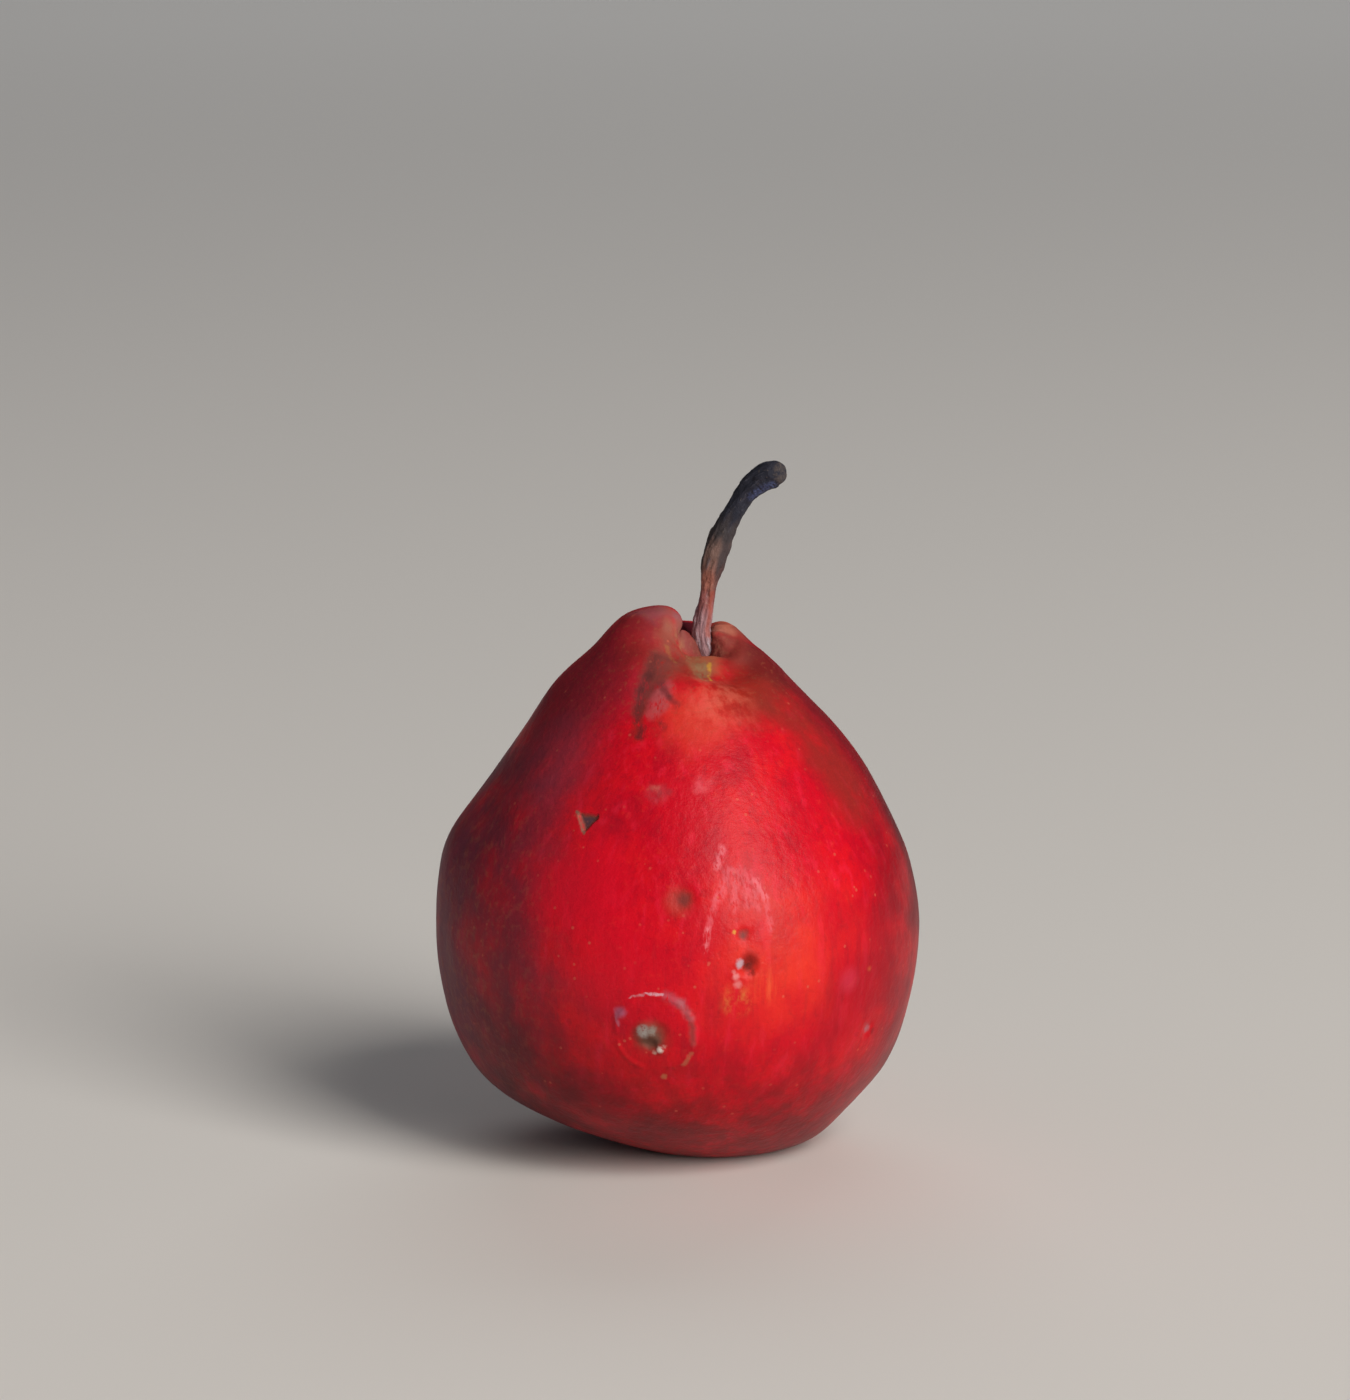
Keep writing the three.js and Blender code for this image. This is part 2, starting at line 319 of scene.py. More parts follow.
open_mesh(fruit)
push_all(fruit, FOLDS)
for name, middle, radius, repeat in SMOOTHED:
    print(name, "smooths", hold(fruit, near([middle], radius)), "points")
    bpy.ops.mesh.vertices_smooth(factor=0.5, repeat=repeat)
bpy.ops.object.mode_set(mode="OBJECT")

# %% [markdown]
# ## Small scars
# A twig has nicked the skin, an insect has left a pit, and a ring of cork has healed over an old
# sting. They are fractions of a millimetre deep, so the mesh is subdivided only where they lie,
# and then pushed in or out as before. A sculpted or painted scar would need a fine mesh all over.

# %% Where the scars are
NICK_CORNERS = [(-14.81, -25.45, 56.14), (-13.75, -27.66, 53.58), (-11.4, -27.24, 56.04)]
NICK = [Vector(c) * MM for c in NICK_CORNERS]
NICK_MIDDLE = (-13.32, -26.78, 55.25)
NICK_REACH = 3  # nothing further from the nick's middle is in it, mm
NICK_EDGE = 0.28  # width of the skin that slopes down inside each side, mm
RING_MIDDLE = (-3.3, -35.9, 25.0)
RING_RADIUS = 5.9
RING_WIDTH = 0.22
RING_BREAKS, BREAKS_TURN, BREAK_LEVEL = 5, 1.1, -0.75  # how many gaps, from where, and how short
NICK_PUSH = (0.6, (0.22, 0.4, -0.24))  # reach and move in mm
RING_PUSH = (0.5, (0, -0.14, 0))
FINE_SPOTS = [  # name, middle, radius and cuts of what is subdivided
    ("nick", NICK_MIDDLE, 3.4, 5),
    ("pit", (9.8, -35.4, 35.3), 3.6, 4),
    ("upper spot", (9, -35.4, 39.9), 2.4, 3),
    ("dimple", (0.6, -35.2, 45), 3.2, 2),
    ("ring", RING_MIDDLE, 8, 3),
    ("bruise", (28.4, -21.2, 22.2), 3, 3),
    ("furrow", (-3.4, -13, 74.5), 6.5, 2),
]
DENTS = [  # name, places, grip, reach, move
    ("pit", [(10.42, -35.48, 35.06)], 0.5, 1.6, (-0.12, 0.55, 0)),
    ("bead beside the pit", [(9.2, -35.75, 35.5)], 0.4, 0.9, (0, -0.22, 0.03)),
    ("bead under the pit", [(8.2, -36, 33.6)], 0.3, 0.8, (0, -0.12, 0)),
    ("upper spot", [(9.69, -35.1, 39.76)], 0.5, 1.1, (-0.05, 0.32, -0.03)),
    ("dimple", [(0.9, -35.1, 45)], 0.8, 2.2, (0, 0.32, -0.1)),
    ("cork", [(-4.8, -35.7, 25.3)], 0.9, 1.3, (0, -0.3, 0.02)),
    ("crack under the cork", [(-4.0, -35.5, 23.5)], 0.4, 1.0, (0, 0.45, 0.02)),
    ("crumb of cork", [(-2.4, -35.4, 22.4)], 0.3, 0.8, (0, -0.25, 0)),
    ("crack beside the cork", [(-2.6, -35.9, 25.4)], 0.5, 1.3, (0, 0.3, 0)),
    ("bruise", [(28.4, -21.2, 22.2)], 0.5, 1.4, (-0.25, 0.2, 0.05)),
]


def nick_sides():
    """Each side of the nick as a corner and the direction in from that side, in the skin."""
    middle = sum(NICK, Vector()) / 3
    facing = (NICK[1] - NICK[0]).cross(NICK[2] - NICK[0]).normalized()
    for corner, after in zip(NICK, NICK[1:] + NICK[:1]):
        inward = facing.cross(after - corner).normalized()
        yield corner, inward if inward.dot(middle - corner) > 0 else -inward


def in_nick(co):
    """A point's test: well inside all three sides of the nick."""
    close = (co - sum(NICK, Vector()) / 3).length < NICK_REACH * MM
    return close and all((co - corner).dot(inward) > NICK_EDGE * MM for corner, inward in nick_sides())


def on_ring(co):
    """A point's test: on the ring, outside its gaps."""
    away = co - Vector(RING_MIDDLE) * MM
    turn = math.atan2(away.z, away.x)
    unbroken = math.sin(RING_BREAKS * turn + BREAKS_TURN) > BREAK_LEVEL
    above_foot = away.z > -0.9 * RING_RADIUS * MM
    return unbroken and above_foot and abs(away.length - RING_RADIUS * MM) < RING_WIDTH * MM


# %% Press the scars in
open_mesh(fruit)
for name, middle, radius, cuts in FINE_SPOTS:
    print(name, "is cut finer at", hold(fruit, near([middle], radius)), "points")
    bpy.ops.mesh.subdivide(number_cuts=cuts, smoothness=1)
print("nick holds", push(fruit, in_nick, *NICK_PUSH), "points")
print("ring holds", push(fruit, on_ring, *RING_PUSH), "points")
push_all(fruit, DENTS)
bpy.ops.object.mode_set(mode="OBJECT")
fruit.data.shade_smooth()
print("scarred fruit:", len(fruit.data.polygons), "faces")

# %% [markdown]
# ## The stem
# The stem is wood: it thickens where it leaves the fruit, thins, and swells again to the knob that
# broke from the spur. It is drawn upright first, by extruding a ring and scaling each step, because
# that is the only time when "round" and "along" are simple. The bark's grain is pressed in while
# the stem is squashed to a quarter of its length, so that round lumps become long ridges when it
# is drawn out again. A Curve modifier then lays it on its path.

# %% The stem's path and thickness
STEM_PATH = [  # mm
    (5.3, 0.5, 69.8), (5.2, 0.4, 73), (4.2, 0.2, 76), (3.6, 0, 78.8), (3.9, 0, 81), (4.45, 0, 83.9),
    (4.85, -0.2, 86.8), (5.5, -0.4, 89.9), (6.45, -0.7, 93), (7.75, -1.1, 95.9), (9, -1.4, 98.2),
    (10.7, -1.9, 100.8), (12.3, -2.2, 102.2), (14, -2.7, 103.2), (15.4, -3.3, 103.5),
]
STEM_GIRTHS = [  # share of the length, radius in mm
    (0, 1.3), (0.05, 1.5), (0.13, 1.58), (0.18, 1.62), (0.24, 1.55), (0.3, 1.42), (0.35, 1.27),
    (0.4, 1.2), (0.435, 1.3), (0.46, 1.52), (0.5, 1.82), (0.54, 1.9), (0.6, 1.88), (0.68, 1.74),
    (0.76, 1.58), (0.83, 1.62), (0.89, 1.95), (0.945, 2.22), (0.975, 2.08), (1, 1.65),
]
PATH_STEPS, GIRTH_STEPS = 12, 6
STEM_SIDES, STEM_RINGS = 20, 48

fine_path = smooth_chain([Vector(p) * MM for p in STEM_PATH], PATH_STEPS)
STEM_LENGTH = sum((there - here).length for here, there in zip(fine_path, fine_path[1:]))
girths = smooth_chain(STEM_GIRTHS, GIRTH_STEPS)


def girth_at(share):
    """The stem's radius at a share of its length."""
    i = next(k for k in range(1, len(girths)) if girths[k].x >= share or k == len(girths) - 1)
    low, high = girths[i - 1], girths[i]
    return (low.y + (high.y - low.y) * (share - low.x) / (high.x - low.x)) * MM


print("the stem is", round(STEM_LENGTH / MM, 1), "mm long")

# %% Draw the stem upright
END_ROUNDING = ((0.85, 0.4), (0.76, 0.12), (0.5, -0.1))  # each step's narrowing and lift in mm

stem = start_mesh(
    "pear_stem", bpy.ops.mesh.primitive_circle_add,
    vertices=STEM_SIDES, radius=girth_at(0), fill_type="NGON",
)
shares = [k / STEM_RINGS for k in range(STEM_RINGS + 1)]
for low, high in zip(shares, shares[1:]):
    extrude_to((0, 0, (high - low) * STEM_LENGTH))
    grow = girth_at(high) / girth_at(low)
    bpy.ops.transform.resize(value=(grow, grow, 1), center_override=(0, 0, high * STEM_LENGTH))
for narrow, lift in END_ROUNDING:
    extrude_to((0, 0, lift * MM))
    bpy.ops.transform.resize(value=(narrow, narrow, 1), center_override=(0, 0, STEM_LENGTH))
bpy.ops.mesh.select_all(action="SELECT")
bpy.ops.mesh.normals_make_consistent(inside=False)
bpy.ops.object.mode_set(mode="OBJECT")
finish_with(stem, "SUBSURF", levels=2, render_levels=2)
print("upright stem:", len(stem.data.polygons), "faces")

# %% Press the grain in
SQUASH = 0.22
GRAIN = (  # squash, size and depth in mm
    (SQUASH, 0.9, 0.5),
    (1, 1.6, 0.35),
    (SQUASH, 0.35, 0.16),
)
BARE_ROOT, BARE_END = 1, 0.9  # mm at each end that the grain leaves alone
STILL = 0.55  # level of the cloud that moves nothing

open_mesh(stem)
hold(stem, lambda co: BARE_ROOT * MM < co.z < STEM_LENGTH - BARE_END * MM)
stem.vertex_groups.new(name="bark")
bpy.ops.object.vertex_group_assign()
bpy.ops.object.mode_set(mode="OBJECT")


def draw_out(factor):
    """Lengthens or squashes the upright stem from its root."""
    open_mesh(stem)
    bpy.ops.mesh.select_all(action="SELECT")
    bpy.ops.transform.resize(value=(1, 1, factor), center_override=(0, 0, 0))
    bpy.ops.object.mode_set(mode="OBJECT")


for squash, size, strength in GRAIN:
    draw_out(squash)
    finish_with(
        stem, "DISPLACE", texture=lumps("grain", size), texture_coords="LOCAL",
        vertex_group="bark" if squash < 1 else "", strength=strength * MM, mid_level=STILL,
    )
    draw_out(1 / squash)
upright = stem.data.attributes.new("upright", "FLOAT_VECTOR", "POINT")
for i, v in enumerate(stem.data.vertices):
    upright.data[i].vector = v.co / MM
print("grain pressed into", len(stem.data.vertices), "points")

# %% Lay the stem on its path
bpy.ops.object.select_all(action="DESELECT")
path_data = bpy.data.curves.new("stem_path", "CURVE")
path_data.dimensions = "3D"
path_data.twist_mode = "MINIMUM"
line = path_data.splines.new("POLY")
line.points.add(len(fine_path) - 1)
for point, place in zip(line.points, fine_path):
    point.co = (*place, 1)
path = bpy.data.objects.new("stem_path", path_data)
bpy.context.scene.collection.objects.link(path)
finish_with(stem, "CURVE", object=path, deform_axis="POS_Z")
bpy.data.objects.remove(path)

stem.data.shade_smooth()


def print_box(piece, packed):
    """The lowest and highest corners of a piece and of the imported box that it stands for, in mm."""
    spans = [[v.co[k] / MM for v in piece.data.vertices] for k in range(3)]
    print(piece.name, [round(min(s), 2) for s in spans], [round(max(s), 2) for s in spans])
    print("its packed box", [[round(c / MM, 2) for c in corner] for corner in packed])


print_box(stem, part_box("stem"))

# %% [markdown]
# ## The calyx
# The five sepals of the flower dry to pointed blades round a small cup, with the stumps of the
# stamens inside. Each blade starts as the curved line of its root, which is extruded step by step
# along the blade and narrowed as it goes, because a dry leaf is curved both along and across.

# %% One sepal
SEPAL = {  # mm, with the tip's width and the cupping as shares
    "length": 5.8, "width": 3.2, "thick": 0.5, "root": 1.8, "drop": 0.9, "tip": 0.12, "cupping": 0.16,
}
BLADE_STEPS = 8
BLADE_OUT = (0.1, 0.45)  # shares of the length: a steady part, and one that grows toward the tip
BLADE_DOWN = (0.95, -0.3)
BLADE_TAPER = 0.7


def blade_width(t):
    """How wide the blade is at a share of its length, where 1 is the sepal's own width."""
    return SEPAL["tip"] + (1 - t) ** BLADE_TAPER


def blade_line(t):
    """The middle of the blade at a share of its length, in mm from the cup's mouth."""
    out, down = (SEPAL["length"] * (a * t + b * t * t) for a, b in (BLADE_OUT, BLADE_DOWN))
    return Vector((SEPAL["root"] + out, 0, SEPAL["drop"] - down))


root_line = []
for side in (-1, -0.5, 0, 0.5, 1):
    across = side * SEPAL["width"] / 2 * blade_width(0)
    curl = SEPAL["cupping"] * across * across
    root_line.append((blade_line(0) + Vector((-curl / 2, across, curl))) * MM)
sepal = start_mesh("sepal", bpy.ops.mesh.primitive_plane_add, size=MM)
bpy.ops.mesh.merge(type="CENTER")
bpy.ops.transform.translate(value=tuple(root_line[0]))
for here, there in zip(root_line, root_line[1:]):
    extrude_to(there - here)
bpy.ops.mesh.select_all(action="SELECT")
for k in range(BLADE_STEPS):
    before, after = k / BLADE_STEPS, (k + 1) / BLADE_STEPS
    extrude_to((blade_line(after) - blade_line(before)) * MM)
    narrow = blade_width(after) / blade_width(before)
    bpy.ops.transform.resize(
        value=(narrow**2, narrow, narrow**2), center_override=tuple(blade_line(after) * MM)
    )
bpy.ops.object.mode_set(mode="OBJECT")
finish_with(sepal, "SOLIDIFY", thickness=SEPAL["thick"] * MM, offset=0)
finish_with(sepal, "SUBSURF", levels=2, render_levels=2)
print("a sepal has", len(sepal.data.polygons), "faces")


# %% Five sepals round the cup
def turned_copy(piece, degrees, stretch=(1, 1, 1)):
    """A copy with its own mesh, stretched and then turned round the upright axis."""
    take(piece)
    bpy.ops.object.duplicate(linked=False)
    made = bpy.context.active_object
    made.scale = stretch
    made.rotation_euler = (0, 0, math.radians(degrees))
    bpy.ops.object.transform_apply(location=True, rotation=True, scale=True)
    return made


SEPALS = ((8, 6.4), (76, 5.5), (151, 6.1), (219, 5.2), (293, 5.9))  # turn in degrees, length in mm
calyx_parts = []
for turn, length in SEPALS:
    stretch = length / SEPAL["length"]
    calyx_parts.append(turned_copy(sepal, turn, (stretch, 1, stretch)))
bpy.data.objects.remove(sepal)
print(len(calyx_parts), "sepals")

# %% The cup
CUP_RADIUS = 2.5  # all in mm
CUP_DEPTH = 4.2
CUP_WALL = 0.6
CUP_EDGE = 0.5
HAIR = 0.1  # within this much of an end, in mm, a point is on it
MOUTH = {"depth": 1.5, "taper": 0.8, "floor": 0.7, "dome": 0.2}

cup = start_mesh(
    "cup", bpy.ops.mesh.primitive_cylinder_add,
    vertices=24, radius=CUP_RADIUS * MM, depth=CUP_DEPTH * MM,
)
bpy.ops.transform.translate(value=(0, 0, CUP_DEPTH / 2 * MM))
hold(cup, lambda co: co.z < HAIR * MM)
bpy.ops.mesh.inset(thickness=CUP_WALL * MM)
extrude_to((0, 0, MOUTH["depth"] * MM))
bpy.ops.transform.resize(value=(MOUTH["taper"], MOUTH["taper"], 1), center_override=(0, 0, 0))
bpy.ops.mesh.inset(thickness=MOUTH["floor"] * MM)
bpy.ops.transform.translate(value=(0, 0, MOUTH["dome"] * MM))
hold(cup, lambda co: co.z > (CUP_DEPTH - HAIR) * MM)
bpy.ops.mesh.bevel(offset=CUP_EDGE * MM, segments=2, affect="EDGES")
bpy.ops.object.mode_set(mode="OBJECT")
calyx_parts.append(cup)
print("the cup is", CUP_RADIUS * 2, "mm across and", CUP_DEPTH, "mm deep")

# %% Six stamens
STAMENS = 6
STAMEN_RADIUS = 0.3  # mm
STAMEN_ROOT = (0.8, 0, 2.2)
STAMEN_STEP = 0.5
STAMEN_STEPS = (  # how far each step leans out in mm, and how it narrows or swells
    (0.02, 0.85), (0.05, 0.9), (0.1, 1), (0.16, 1.1), (0.1, 1.25), (0.02, 0.6),
)

stamen = start_mesh(
    "stamen", bpy.ops.mesh.primitive_circle_add,
    vertices=8, radius=STAMEN_RADIUS * MM, fill_type="NGON",
)
bpy.ops.transform.translate(value=tuple(c * MM for c in STAMEN_ROOT))
for lean, narrow in STAMEN_STEPS:
    extrude_to((lean * MM, 0, -STAMEN_STEP * MM))
    bpy.ops.transform.resize(value=(narrow, narrow, 1))
bpy.ops.mesh.select_all(action="SELECT")
bpy.ops.mesh.normals_make_consistent(inside=False)
bpy.ops.object.mode_set(mode="OBJECT")
for k in range(STAMENS):
    turn, taller = 360 / STAMENS * k + 7 * (k % 3), 1 + 0.05 * (k % 2)
    calyx_parts.append(turned_copy(stamen, turn, (1, 1, taller)))
bpy.data.objects.remove(stamen)
print(len(calyx_parts), "parts make the calyx")

# %% Join the calyx
CALYX_TOP = Vector((5.8, 0, 9.2)) * MM
CRUMPLE_SIZE, CRUMPLE = 1.1, 0.25  # mm

bpy.ops.object.select_all(action="DESELECT")
for part in calyx_parts:
    part.select_set(True)
bpy.context.view_layer.objects.active = cup
bpy.ops.object.join()
calyx = bpy.context.active_object
calyx.name = calyx.data.name = "pear_calyx"
open_mesh(calyx)
bpy.ops.mesh.select_all(action="SELECT")
bpy.ops.transform.translate(value=tuple(CALYX_TOP - Vector((0, 0, CUP_DEPTH * MM))))
bpy.ops.object.mode_set(mode="OBJECT")
finish_with(
    calyx, "DISPLACE", texture=lumps("crumple", CRUMPLE_SIZE), texture_coords="LOCAL",
    strength=CRUMPLE * MM, mid_level=STILL,
)
calyx.data.shade_smooth()
print_box(calyx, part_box("calyx"))

# %% [markdown]
# ## Skin
# A pear's skin is one thin waxy layer, and its colour is dye in the layer under the wax. So the
# finish is built up in washes over one red, each with a mask of its own: a zone by its place, a
# stroke along a line, or a spot round a point. All masks read Object coordinates, in millimetres,
# so they stay on the skin from every side. A painted texture could do the same, but washes stay
# sharp at any distance.

# %% A finish in washes
SEED_STEPS = (7.3, 3.1, 5.7)  # how far one seed moves a cloud, in lumps


def dye(code):
    """A hex colour as the linear colour that sockets hold."""
    parts = [int(code[i : i + 2], 16) / 255 for i in (0, 2, 4)]
    return (*(c / 12.92 if c <= 0.04045 else ((c + 0.055) / 1.055) ** 2.4 for c in parts), 1)


class Finish:
    """A node material whose colour and roughness are laid on in washes."""

    def __init__(self, name, colour, roughness, attribute=None, **constants):
        self.material = bpy.data.materials.new(name)
        self.material.use_nodes = True
        self.tree = self.material.node_tree
        self.shader = self.tree.nodes["Principled BSDF"]
        for socket, value in constants.items():
            self.shader.inputs[socket.replace("_", " ")].default_value = value
        self.colour, self.roughness = dye(colour), roughness
        if attribute:
            self.place = self.add("Attribute", output="Vector", attribute_name=attribute)
        else:
            self.place = self.add("Mapping", self.add("TexCoord", output="Object"), Scale=(1 / MM,) * 3)

    def add(self, kind, *feeds, output=0, sockets=None, **settings):
        made = self.tree.nodes.new("ShaderNode" + kind)
        for key, value in settings.items():
            if hasattr(made, key):
                setattr(made, key, value)
            else:
                self.feed(made.inputs[key], value)
        for i, value in zip(sockets or range(len(feeds)), feeds):
            self.feed(made.inputs[i], value)
        return made.outputs[output]

    def feed(self, socket, value):
        if isinstance(value, bpy.types.NodeSocket):
            self.tree.links.new(value, socket)
        else:
            socket.default_value = value

    def maths(self, operation, *feeds):
        return self.add("Math", *feeds, operation=operation)

    def vector(self, operation, *feeds, output=0):
        if operation == "SCALE":
            return self.add("VectorMath", *feeds, sockets=(0, 3), operation=operation)
        return self.add("VectorMath", *feeds, operation=operation, output=output)

    def fade(self, value, none, full):
        """0 at none, 1 at full, smooth between them."""
        return self.add("MapRange", value, none, full, interpolation_type="SMOOTHSTEP")

    def both(self, *masks):
        total = masks[0]
        for mask in masks[1:]:
            total = self.maths("MULTIPLY", total, mask)
        return total

    def cloud(self, size, detail=2, stretch=(1, 1, 1), seed=0, rough=0.5, output="Fac"):
        """Noise with lumps of a size in mm, drawn out along an axis by stretch."""
        moved = self.add(
            "Mapping", self.place, Location=tuple(seed * step for step in SEED_STEPS),
            Scale=tuple(1 / (size * s) for s in stretch),
        )
        return self.add("TexNoise", moved, Scale=1, Detail=detail, Roughness=rough, output=output)

    def wobble(self, size, amount, seed=0):
        """The place, shaken by noise, so that a mask's edge is never a clean circle."""
        shaken = self.vector("SUBTRACT", self.cloud(size, seed=seed, output="Color"), (0.5, 0.5, 0.5))
        return self.vector("ADD", self.place, self.vector("SCALE", shaken, amount))

    def spot(self, at, inner, outer, place=None):
        """A mask round a place: 1 within inner, 0 beyond outer."""
        far = self.vector("DISTANCE", place or self.place, at, output=1)
        return self.fade(far, outer, inner)

    def stroke(self, start, end, inner, outer, place=None):
        """A mask along a straight line between two places."""
        start, end = Vector(start), Vector(end)
        way = end - start
        from_start = self.vector("SUBTRACT", place or self.place, tuple(start))
        share = self.vector("DOT_PRODUCT", from_start, tuple(way / way.length_squared), output=1)
        share = self.add("Clamp", share)
        off = self.vector("SUBTRACT", from_start, self.vector("SCALE", tuple(way), share))
        return self.fade(self.vector("LENGTH", off, output=1), outer, inner)

    def wash(self, mask, colour, roughness=None, strength=1):
        """Lays a colour, and a roughness if given, over what is there, where the mask lets it."""
        if strength != 1:
            mask = self.maths("MULTIPLY", mask, strength)
        self.colour = self.add(
            "Mix", mask, self.colour, dye(colour), sockets=(0, 6, 7), data_type="RGBA", output=2
        )
        if roughness is not None:
            self.roughness = self.add("Mix", mask, self.roughness, roughness, sockets=(0, 2, 3))

    def patchy(self, mask, cloud, none, full, colour, roughness=None, strength=1):
        """A wash that a cloud breaks up: bare where it reads none, laid on where it reads full."""
        self.wash(self.both(mask, self.fade(cloud, none, full)), colour, roughness, strength)

    def close(self, height=None, distance=0):
        """Feeds the shader, with a bump from a height that runs from 0 to 1 over a distance."""
        self.feed(self.shader.inputs["Base Color"], self.colour)
        self.feed(self.shader.inputs["Roughness"], self.roughness)
        if height is not None:
            bump = self.add("Bump", Height=height, Distance=distance, Strength=1)
            self.feed(self.shader.inputs["Normal"], bump)
        print(self.material.name, "has", len(self.tree.nodes), "nodes")
        return self.material


# %% [markdown]
# The first washes are the broad ones. Clouds mottle the red: drifts a centimetre wide, streaks that
# run from crown to foot as on every pear, and a grain. The side that faced the sun is scarlet and
# turns orange low on the right. The left side is darker, partly duller skin and partly painted shade;
# the right rim, the low sides and the foot are darkened as painted shade. A grey bloom of wax on the
# left flank is partly a painted sheen. A cloud breaks up every zone, so that none ends in a line.

# %% Skin: a mottled red
skin = Finish("pear skin", "c5051e", 0.4, Specular_IOR_Level=0.16)
sideways, height_up = (skin.add("SeparateXYZ", skin.place, output=axis) for axis in ("X", "Z"))
mottle = skin.cloud(9, 4, seed=1, rough=0.6)
streaks = skin.cloud(5, 4, (1, 1, 4.5), rough=0.62)
blush = skin.cloud(1.7, 3, (1, 1, 6), seed=14, rough=0.6)
grain = skin.cloud(1.3, 3, seed=2, rough=0.65)
MOTTLING = [  # cloud, where it is bare and full, colour, strength
    (mottle, 0.4, 0.68, "d8101c", 0.75),
    (streaks, 0.5, 0.32, "980820", 0.4),
    (blush, 0.52, 0.7, "e0203a", 0.45),
    (blush, 0.46, 0.3, "a00c20", 0.4),
    (grain, 0.56, 0.75, "dd3a2a", 0.22),
    (grain, 0.46, 0.3, "8e0a1e", 0.3),
]
for cloud, none, full, colour, strength in MOTTLING:
    skin.wash(skin.fade(cloud, none, full), colour, strength=strength)
print(len(MOTTLING), "washes mottle the red")

# %% Skin: sun and shade
loose = skin.wobble(16, 16)
sunny = skin.spot((15.5, -33, 38.5), 0, 17, loose)
# painted shade: the left side darker, partly a duller skin, partly the shade of the light from the
# right
shaded = skin.fade(sideways, -4, -28)
# painted shade on the right rim
painted_shade_right_rim = skin.fade(sideways, 24, 35.5)
# painted shade, darker toward the foot and the base
foot, base = skin.fade(height_up, 32, 2), skin.fade(height_up, 30, 4)
blots = skin.cloud(3.2, 4, seed=3)
# painted shade low on the right
painted_shade_low_right = skin.both(skin.fade(sideways, 2, 20), skin.fade(height_up, 22, 6))
SIDES = [  # mask, cloud, where it is bare and full, colour, strength
    (sunny, mottle, 0.2, 0.75, "e23e26", 0.8),
    (shaded, mottle, 0.85, 0.3, "6a2c3a", 0.85),
    (painted_shade_right_rim, mottle, 1, 0.25, "640a16", 0.95),
    (foot, blots, 0.4, 0.66, "6a1519", 0.65),
    (base, grain, 0.28, 0.6, "741a1a", 0.6),
    (painted_shade_low_right, mottle, 0.9, 0.3, "5a0c16", 0.6),
]
for mask, cloud, none, full, colour, strength in SIDES:
    skin.patchy(mask, cloud, none, full, colour, strength=strength)
FRONT_ZONES = {  # middle, inner, outer, colour, strength
    "scarlet cheek": ((-12, -30, 44), 2, 12, "e00a24", 0.6),
    "scarlet under the cheek": ((-11, -33, 33), 2, 9, "da0a22", 0.5),
    # painted shade at the front of the foot
    "dark front of the foot": ((-3, -27, 8), 3, 13, "4c1016", 0.45),
    # painted shade low on the right haunch
    "dull right haunch": ((26, -25.5, 27.5), 2, 13, "8a0616", 0.42),
}
for middle, inner, outer, colour, strength in FRONT_ZONES.values():
    skin.wash(skin.spot(middle, inner, outer, loose), colour, strength=strength)
print("on the front:", ", ".join(FRONT_ZONES))

# %% Skin: the left flank, its bloom and a painted sheen
# painted shade, darker low on the left
painted_shade_low_left = skin.both(skin.fade(sideways, 4, -24), skin.fade(height_up, 36, 12))
skin.patchy(painted_shade_low_left, mottle, 0.9, 0.3, "4a1219", strength=0.7)
# a grey wax bloom on the left flank, partly a painted sheen
wax_bloom_and_sheen, dusting = skin.fade(sideways, -24, -35), skin.fade(sideways, -14, -34)
skin.patchy(wax_bloom_and_sheen, streaks, 0.3, 0.62, "70384e", 0.62, 0.55)
skin.patchy(dusting, grain, 0.5, 0.68, "a8604a", 0.6, 0.35)
print("broad washes:", len(skin.tree.nodes), "nodes so far")
